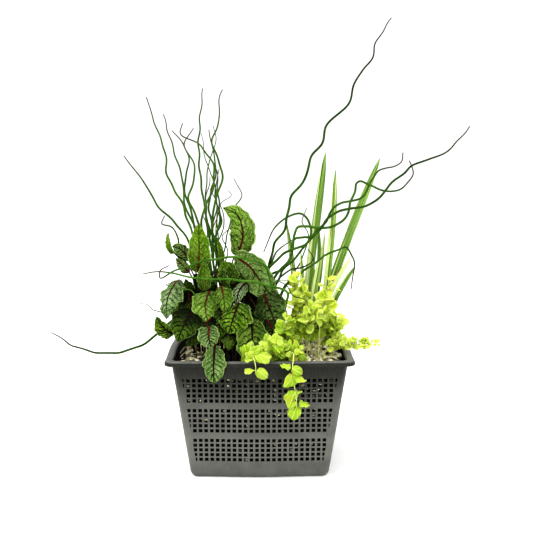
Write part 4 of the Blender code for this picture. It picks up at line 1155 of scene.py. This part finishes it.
DOCK_PAINTS = [
    dock_face("dock_leaf_top",
              ((0.026, 0.085, 0.002), (0.1, 0.22, 0.006), (0.11, 0.25, 0.003), (0.28, 0.46, 0.012)),
              (0.01, 0.001, 0.002), (0.008, 0.022, 0.001), (0.32, 0.48, 0.13), 1.0, 0.42),
    dock_face("dock_leaf_underside",
              ((0.05, 0.12, 0.014), (0.11, 0.22, 0.03), (0.14, 0.28, 0.016), (0.28, 0.46, 0.045)),
              (0.025, 0.002, 0.003), (0.015, 0.04, 0.004), (0.28, 0.43, 0.1), 0.85, 0.5),
    dock_stem_skin(),
]


def put_dock(name, rows, nodes=()):
    """Joins the leaves of some rows, each with its number and where it is widest, in one piece: the
    blades' skins and the stalks' tubes."""
    parts = []
    for number, widest, (width, across, stalk, blade, shape, look) in rows:
        knots = rooted(stalk) + blade
        marks = distances(knots)
        start = marks[-len(blade)]
        parts.append(dock_blade(number, widest, width, across, knots, marks, start, shape, look))
        parts.append(dock_stalk(knots, marks, start, look))
    put_piece(name, join_shapes([part[:3] for part in parts]), DOCK_PAINTS, nodes,
              ["veins", "shares", "looks"], np.concatenate([part[3] for part in parts]))


for name, row in DOCK_LEAVES.items():
    put_dock(name + "_blade", [(int(name[-2:]), WIDEST_AT.get(name, DOCK_WIDEST), row)], [name])
put_dock("dock_young_leaves", [(number, DOCK_WIDEST, row) for number, row in enumerate(YOUNG_DOCK_LEAVES, 1)])


# Variegated iris stands behind on the right as a loose fan of sword blades, each folded along its
# middle and ribbed lengthwise, green with cream and lime stripes that run its whole length.
IRIS_THICKNESS = 1.3
IRIS_ROWS = 56
IRIS_ACROSS = 15
IRIS_FOLD = 0.14
IRIS_BLADES = {
    "iris_blade_01": (12.5, (1, 0.2, 0), [(66, 52), (69, 56, 232), (80, 60, 320), (92, 66, 407)], 0.35),
    "iris_blade_02": (9.5, (1, -0.1, 0), [(84, 44), (94, 46, 234), (101, 49, 310), (105, 52, 383)], 0.76),
    "iris_blade_03": (12.5, (1, 0.1, 0), [(77, 56), (101, 62, 223), (135, 70, 315), (170, 78, 400)], 0.2),
    "iris_blade_04": (7.5, (1, 0.3, 0), [(52, 56), (47, 60, 241), (42, 61, 280), (37, 60, 312)], 0.3),
    "iris_blade_05": (8, (1, 0.2, 0), [(72, 68), (84, 74, 231), (85, 78, 298)], 0.1),
    "iris_blade_06": (8, (1, -0.1, 0), [(83, 36), (101, 36, 222), (126, 40, 263)], 0.8),
    "iris_blade_07": (8.5, (1, -0.2, 0), [(84, 22), (103, 23, 208), (130, 26, 252)], 0.2),
    "iris_blade_08": (8, (1, 0, 0), [(66, 38), (70, 36, 207), (75, 40, 256)], 0.15),
}
YOUNG_IRIS = (
    (6.5, (1, 0.1, 0), [(56, 30), (59, 28, 205), (58, 28, 239), (56, 28, 271)], 0.3),
    (9, (1, 0, 0), [(66, 28), (72, 29, 205), (76, 30, 230), (82, 31, 262)], 0.75),
    (7, (1, 0.2, 0), [(90, 30), (103, 30, 205), (110, 30, 218), (120, 30, 242)], 0.9),
    (6, (1, -0.3, 0), [(74, 62), (86, 66, 236), (92, 70, 296)], 0.6),
)


def iris_width(v):
    """Share of the full width: seven tenths at the foot, one at mid length, then a long point."""
    return (0.7 + 0.3 * np.sin(np.pi * np.minimum(v * 1.15, 0.5))) * (1 - v ** 7) ** 0.8


def iris_blade(width, across, route, tone):
    """A sword blade as a closed skin: folded up along the middle, with fine ribs along it. Its values
    are millimetres from the middle and from the foot, and the blade's own tone."""
    knots = rooted(route)
    length = distances(knots)[-1]
    v = np.linspace(0.0, 0.995, IRIS_ROWS)
    halves = width / 2 * iris_width(v)

    def lifts(u, where):
        ribs = 0.12 * np.cos(u * 13) * (1 - u ** 2)
        return halves[:, None] * IRIS_FOLD * 2 * np.abs(u) + ribs + 0.5 * np.sin(where / 41)[:, None] * u

    rings, u = flat_blade(knots, v * length, across, halves, lifts, IRIS_THICKNESS, IRIS_ACROSS)
    points, faces = closed_grid(rings, *along(knots, [0.0, length]))
    values = np.stack(np.broadcast_arrays(halves[:, None] * u, (v * length)[:, None], tone), axis=2)
    return points, faces, with_poles(values, IRIS_ACROSS // 2)


def iris_leaf_skin():
    """Waxy green with stripes of lime and cream: two noises drawn out a hundredfold along the blade."""
    paint, tree = new_material("iris_leaf_skin")
    blade = label_vector(tree, "blade")
    aside, length, tone = three_of(blade)
    bands = noise(scaled(blade, (0.42, 0.0035, 37.0)), 1.0, 1.0)
    lines = noise(scaled(blade, (1.9, 0.006, 23.0)), 1.0, 2.0)
    green = mottled(tree, (0.033, 0.088, 0.01), (0.068, 0.152, 0.018), 30.0, 300.0)
    lime = blend(ramp(lines, 0.42, 0.6), green["Colour"], (0.24, 0.39, 0.08))
    lit = less(times(tone, 0.4), times(aside, 0.028))
    share = plus(bands, less(lit, ramp(length, 100.0, 240.0, 0.16, 0.27)))
    striped = blend(ramp(share, 0.52, 0.6), lime, (0.6, 0.7, 0.28))
    pale_foot = blend(ramp(length, 8.0, 60.0), (0.62, 0.66, 0.36), striped)
    burnt = times(ramp(aside, -2.9, -2.1, 0.75, 0.0), ramp(tone, 0.77, 0.79), ramp(length, 25.0, 50.0))
    whole = blend(burnt, pale_foot, (0.45, 0.13, 0.04))
    return finish_paint(paint, whole, 0.4, 0.1, (lines, 0.35, 0.0004))


IRIS_PAINT = iris_leaf_skin()
for name, row in IRIS_BLADES.items():
    put_piece(name + "_leaf", iris_blade(*row), [IRIS_PAINT], [name], ["blade"])
young = join_shapes([iris_blade(*row) for row in YOUNG_IRIS])
put_piece("iris_young_blades", young, [IRIS_PAINT], labels=["blade"])


# Golden moneywort creeps and trails at the front right: slim stems with opposite pairs of small round
# leaves, waved at the edge and crowded at the shoots' ends, yellow-green where the light falls on them.
SHOOT_RADIUS = 0.85
PAIR_PITCH = 0.98
LEAF_COLUMNS = 16
LEAF_RINGS = ((0.5, -1), (0.85, -1), (1.0, 0), (0.85, 1), (0.5, 1))
LEAF_THICKNESS = 0.45
USUAL_LEAF = 7.0
SHOOT_SIDES = 6
NEAT_LEAVES, CRUMPLED_LEAVES = 1.0, 1.5
MONEYWORT_SHOOTS = {
    "moneywort_01": (8.0, 1.0, (0.35, 1), 5, 11, (0, 0, 1), [(48, -8), (52, -6, 190), (50, 0, 242)]),
    "moneywort_02": (8.2, 1.0, (0.35, 1), 5, 11, (0, 0, 1), [(76, -22), (80, -20, 190), (85, -17, 214),
        (91, -14, 236)]),
    "moneywort_03": (7.4, 0.6, (0.62, 1), 5, 13, (0, 0, 1), [(60, -50), (64, -53, 175), (68, -56, 212)]),
    "moneywort_04": (7.2, 0.25, (0.1, 1), 6, 12, (0, 0, 1), [(34, -52), (31, -62, 170), (32, -70, 198)]),
    "moneywort_05": (4.5, 0.75, (0.27, 1), 9, 9, (0, 0, 1), [(80, -62), (92, -66, 160), (108, -70, 165),
        (126, -74, 165), (146, -76, 167)]),
    "moneywort_06": (6.8, 0.15, (0.05, 0.3), 4, 13, (0, -0.7, 0.7), [(34, -84), (38, -99, 160),
        (40, -113, 160), (38, -124, 146), (41, -127, 122), (43, -127, 105), (41, -127, 90)]),
    "moneywort_07": (6.6, 0.35, (0.4, 0.62), 1, 8, (0, -0.7, 0.7), [(-17, -86), (-15, -101, 158),
        (-9, -114, 160), (-5, -124, 149), (-5, -125, 140)]),
    "moneywort_08": (7.2, 0.28, (0.1, 1), 5, 13, (0, -0.4, 0.9), [(20, -72), (20, -90, 162),
        (13, -103, 169), (4, -110, 169)]),
    "moneywort_09": (7.0, 0.6, (0.4, 1), 5, 12, (0, 0, 1), [(92, -42), (95, -44, 172), (98, -42, 196)]),
}
LOW_SHOOTS = (
    (7.2, 0.1, (0.8, 1), 4, 9, (0, 0, 1), [(46, -44), (50, -50, 168), (54, -50, 183)]),
    (7.2, 0.15, (0.8, 1), 4, 9, (0, 0, 1), [(66, -36), (70, -42, 168), (74, -42, 184)]),
    (7.0, 0.2, (0.6, 1), 4, 10, (0, 0, 1), [(80, -30), (86, -34, 166), (90, -32, 180)]),
    (7.2, 0.1, (0.5, 1), 4, 11, (0, 0, 1), [(36, -28), (38, -34, 166), (38, -36, 180)]),
    (4.5, 0.9, (0.95, 1), 0, 1, (0, 0, 1), [(74, -54), (75, -57, 178), (76, -58, 208)]),
)
HANGING_LEAVES = {
    "moneywort_06": (((37, -125, 148), (24, -126, 150), (0.1, -0.4, 1)),
                     ((37, -126, 148), (49, -127, 141), (-0.2, -1, 0.4)),
                     ((39, -127, 141), (30, -128, 125), (0.5, -1, 0.1)),
                     ((40, -127, 136), (53, -127, 132), (0.1, -0.5, 0.9)),
                     ((41, -127, 122), (34, -127, 102), (0.7, -1, 0.2)),
                     ((41, -127, 120), (49, -127, 119), (0, -0.2, 1)),
                     ((45, -127, 106), (58, -126, 103), (0.1, -0.4, 1)),
                     ((44, -127, 107), (34, -127, 104), (-0.3, -0.8, 0.8)),
                     ((44, -127, 104), (37, -128, 87), (-0.2, -1, 0.3))),
    "moneywort_07": (((-5, -125, 145), (-17, -127, 143), (-0.1, -0.3, 1)),
                     ((-4, -125, 146), (8, -127, 137), (-0.2, -1, 0.5)),
                     ((-9, -116, 157), (-17, -121, 155), (0, -0.6, 0.8)),
                     ((-6, -112, 163), (12, -121, 158), (0.1, -0.8, 0.8))),
}


def round_leaves(places, ways, faces_up, sizes, tones, crumple, seed):
    """Round leaves as closed skins of a few rings. Each grows from its place along its way, with its
    upper face towards faces_up. Its outline is a circle, notched at the stalk by a high power of the
    cosine and drawn out a little at the tip; it is cupped by the square of the radius, creased along
    its middle and waved at the edge by the cube, all of it times the crumple and bounded by a tanh.
    Gives points, faces and values."""
    random = np.random.default_rng(seed)
    count = len(places)
    turn = 2 * np.pi * np.arange(LEAF_COLUMNS) / LEAF_COLUMNS
    radius, level = np.array(LEAF_RINGS).T
    notch = np.where(np.cos(turn) < 0, -0.16, 0.14) * np.cos(turn) ** 8
    grow = radius[:, None] * (1 + notch + 0.05 * np.cos(2 * turn))
    flat_x, flat_y = grow * np.cos(turn), 0.94 * grow * np.sin(turn)
    start = random.uniform(0, 6.28, (2, count, 1, 1))
    waving = random.uniform(0.08, 0.26, (count, 1, 1)) * np.sin(2 * turn + start[0])
    waving = waving + random.uniform(0.06, 0.2, (count, 1, 1)) * np.sin(5 * turn + start[1])
    cup = random.uniform(-0.3, 0.3, (count, 1, 1))
    crease = random.uniform(-0.1, 0.4, (count, 1, 1))
    rise = 0.6 * np.tanh(crumple * (cup * grow ** 2 + waving * grow ** 3 + crease * np.abs(flat_y)) / 0.6)
    rise = rise + 0.5 * LEAF_THICKNESS / USUAL_LEAF * level[:, None] * (1 - 0.5 * radius[:, None])
    local = np.stack(np.broadcast_arrays(1.0 + flat_x, flat_y, rise), axis=3).reshape(count, -1, 3)
    poles = np.array([[1.0, 0.0, -0.03], [1.0, 0.0, 0.03]])
    local = np.concatenate([local, np.broadcast_to(poles, (count, 2, 3))], axis=1)
    out = unit(ways)
    up = unit(faces_up - (faces_up * out).sum(axis=1)[:, None] * out)
    frame_of_leaf = np.stack([out, np.cross(up, out), up], axis=1)
    points = (local * sizes[:, None, None]) @ frame_of_leaf + places[:, None]
    one = closed_grid(np.zeros((len(LEAF_RINGS), LEAF_COLUMNS, 3)), (0, 0, 0), (0, 0, 0))[1]
    per_leaf = local.shape[1]
    tones = np.repeat(tones, per_leaf).reshape(count, -1, 1)
    values = np.concatenate([local[:, :, :2] - (1.0, 0.0), tones], axis=2)
    return points.reshape(-1, 3), copied_faces(one, count, per_leaf), values.reshape(-1, 3)


def sprig(knots, size, bright, span, up, seed):
    """A leafy stem: the tube and its pairs of leaves over the span's share of it, each pair a quarter
    turn on from the last, smaller towards the end."""
    random = np.random.default_rng(seed)
    length = distances(knots)[-1]
    where = np.linspace(0, length, max(8, int(length / 3)))
    points, faces = tube(along(knots, where), SHOOT_RADIUS * (1 - 0.45 * where / length), SHOOT_SIDES)
    count = max(3, int(length * (span[1] - span[0]) / (PAIR_PITCH * size)))
    fall = 0.5 if size < 5 else 0.35
    share = np.linspace(0, 1, count)
    spots = np.minimum(length * (span[0] + (span[1] - span[0]) * share), length - 0.5)
    centres = along(knots, spots)
    ways = unit(along(knots, np.minimum(spots + 1, length)) - along(knots, spots - 1))
    aside, other = square_to(ways)
    angle = np.pi / 2 * np.arange(count) + random.normal(0.4, 0.3, count)
    shapes = [(points, faces, np.tile((0.0, 0.0, -1.0), (len(points), 1)))]
    for side in (0.0, np.pi):
        out = np.cos(angle + side)[:, None] * aside + np.sin(angle + side)[:, None] * other
        lean = random.uniform(0.1, 0.8, (count, 1))
        out = out * np.cos(lean) + ways * np.sin(lean) + (0, 0, 0.1)
        faces_up = 0.5 * ways + 0.6 * np.array(up) + random.normal(0, 0.42, (count, 3)) + (0, -0.4, 0)
        sizes = size * (1.0 - fall * share ** 3) * random.uniform(0.8, 1.15, count)
        tones = np.clip(bright + 0.25 * share - 0.1 + random.normal(0, 0.2, count), 0.0, 1.0)
        shapes.append(round_leaves(centres + 0.8 * out, out, faces_up, sizes, tones, NEAT_LEAVES, seed + 7))
    return shapes


def moneywort_shoot(number, hanging, size, bright, span, branches, reach, up, route):
    """A shoot with its side branches, which leave it one after another and turn up at their ends, and
    with the leaves that hang past the rim, each from its place at the stem to its tip."""
    knots = rooted(route)
    seed = 100 * number
    random = np.random.default_rng(seed)
    shapes = sprig(knots, size, bright, span, up, seed)
    length = distances(knots)[-1]
    starts = along(knots, length * np.linspace(span[0] + 0.05, 0.85 * span[1], branches))
    turn = 2.4 * np.arange(branches) + random.uniform(0, 6.28)
    level = np.stack([np.cos(turn), 0.8 * np.sin(turn), np.zeros(branches)], axis=1)
    reaches = reach * random.uniform(0.7, 1.1, branches)[:, None]
    middles = starts + reaches * (0.55 * level + (0, 0, 0.12))
    ends = starts + reaches * (0.85 * level + 0.45 * np.array(up))
    for branch in range(branches):
        side = [starts[branch], middles[branch], ends[branch]]
        shapes.extend(sprig(side, 0.94 * size, bright, (0.25, 1), up, seed + 10 * branch + 3))
    if hanging:
        places, tips, faces_up = np.moveaxis(np.array(hanging, float), 1, 0)
        sizes = 0.5 * np.linalg.norm(tips - places, axis=1)
        tones = np.full(len(places), bright)
        shapes.append(round_leaves(places, tips - places, faces_up, sizes, tones, CRUMPLED_LEAVES, seed + 5))
    return join_shapes(shapes)


def moneywort_leaf():
    """Thin, tender yellow-green leaf: brighter towards the shoot's end, darker by its veins, with painted
    shade towards its middle; a value below nought marks the stem, which is paler and blushes brown."""
    paint, tree = new_material("moneywort_leaf")
    out, aside, tone = three_of(label_vector(tree, "leaf"))
    shade = mottled(tree, (0.14, 0.33, 0.004), (0.29, 0.5, 0.014), 90.0, 500.0)
    bright = mottled(tree, (0.64, 0.77, 0.07), (0.78, 0.88, 0.2), 90.0, 500.0)
    body = blend(tone, shade["Colour"], bright["Colour"])
    squares = plus(calc("POWER", aside, 2.0), calc("POWER", out, 2.0))
    # Painted shade: each leaf is darker towards its cupped middle.
    cupped_middle_shade = blend(ramp(squares, 0.05, 1.0, 0.55, 0.0), body, (0.25, 0.4, 0.02))
    midrib = ramp(calc("ABSOLUTE", aside), 0.02, 0.1, 0.6, 0.0)
    fan = times(calc("ARCTAN2", aside, plus(out, 1.15)), 9.0)
    ribs = ramp(calc("ABSOLUTE", calc("SINE", fan)), 0.0, 0.4, 0.45, 0.0)
    veined = blend(largest(midrib, ribs), cupped_middle_shade, (0.72, 0.82, 0.2))
    old = times(ramp(shade["Mask"], 0.8, 1.0), ramp(tone, 0.1, 0.45, 0.5, 0.0))
    aged = blend(old, veined, (0.5, 0.34, 0.04))
    stem = mottled(tree, (0.42, 0.46, 0.12), (0.58, 0.66, 0.22), 60.0, 300.0)
    whole = blend(ramp(tone, -0.6, -0.4, 1.0, 0.0), aged, stem["Colour"])
    light_through = {"Subsurface Weight": 0.5, "Subsurface Radius": (1.0, 1.0, 0.25),
                     "Subsurface Scale": 0.003}
    return finish_paint(paint, whole, 0.45, 0.08, (shade["Height"], 0.4, 0.0004), light_through)


MONEYWORT_PAINT = moneywort_leaf()
for name, row in MONEYWORT_SHOOTS.items():
    shoot = moneywort_shoot(int(name[-2:]), HANGING_LEAVES.get(name), *row)
    put_piece(name + "_shoot", shoot, [MONEYWORT_PAINT], [name], ["leaf"])
low_shoots = join_shapes([moneywort_shoot(number, None, *row) for number, row in enumerate(LOW_SHOOTS, 1)])
put_piece("moneywort_low_shoots", low_shoots, [MONEYWORT_PAINT], labels=["leaf"])


# The studio is a pale floor under a white sky, brighter overhead, with one broad soft light from the
# upper left and a weaker one from the right, as in the photograph, where the floor burns out to white.
FLOOR_HALF = 6.0
SKY = 1.8
CAMERA_PLACE = (-0.0013, -0.973, 0.354)
CAMERA_DOWN = 5.87
CAMERA_RIGHT = 0.61
CAMERA_LENS = 49.98

floor_mesh = bpy.data.meshes.new("floor")
floor_mesh.from_pydata([(-FLOOR_HALF, -FLOOR_HALF, 0), (FLOOR_HALF, -FLOOR_HALF, 0),
                        (FLOOR_HALF, FLOOR_HALF, 0), (-FLOOR_HALF, FLOOR_HALF, 0)], [], [(0, 1, 2, 3)])
floor = bpy.data.objects.new("floor", floor_mesh)
bpy.context.scene.collection.objects.link(floor)
floor_mesh.materials.append(finish_paint(new_material("pale_floor")[0], (0.92, 0.92, 0.91), 0.6, 0.5))

sky = bpy.data.worlds.new("white_sky")
sky.use_nodes = True
dome = sky.node_tree
toward = add_node(dome, "ShaderNodeTexCoord", {}).outputs["Generated"]
rise = add_node(dome, "ShaderNodeSeparateXYZ", {0: toward}).outputs[2]
glow = ramp(rise, -0.1, 0.9, 0.5, SKY)
seen = add_node(dome, "ShaderNodeLightPath", {}).outputs["Is Camera Ray"]
set_sockets(dome.nodes["Background"], {"Color": (1.0, 1.0, 1.0), "Strength": largest(glow, seen)})
bpy.context.scene.world = sky
bpy.context.scene.view_settings.view_transform = "Standard"
bpy.context.scene.view_settings.look = "Medium High Contrast"


def soft_light(name, place, size, power):
    """A square area light aimed at the middle of the plants."""
    lamp = bpy.data.lights.new(name, "AREA")
    lamp.size = size
    lamp.energy = power
    made = bpy.data.objects.new(name, lamp)
    made.location = place
    aim = np.array((0.0, 0.0, 0.2)) - np.array(place)
    yaw = math.atan2(aim[1], aim[0])
    drop = math.atan2(math.hypot(aim[0], aim[1]), -aim[2])
    made.rotation_euler = (drop, 0.0, yaw - math.pi / 2)
    bpy.context.scene.collection.objects.link(made)


soft_light("key", (-0.7, -0.6, 1.4), 0.9, 12.0)
soft_light("fill", (0.9, -1.3, 0.7), 1.0, 3.0)

lens = bpy.data.cameras.new("camera")
lens.sensor_width = 36.0
lens.lens = CAMERA_LENS
camera = bpy.data.objects.new("camera", lens)
camera.location = CAMERA_PLACE
camera.rotation_euler = (math.radians(90 - CAMERA_DOWN), 0.0, math.radians(-CAMERA_RIGHT))
bpy.context.scene.collection.objects.link(camera)
bpy.context.scene.camera = camera
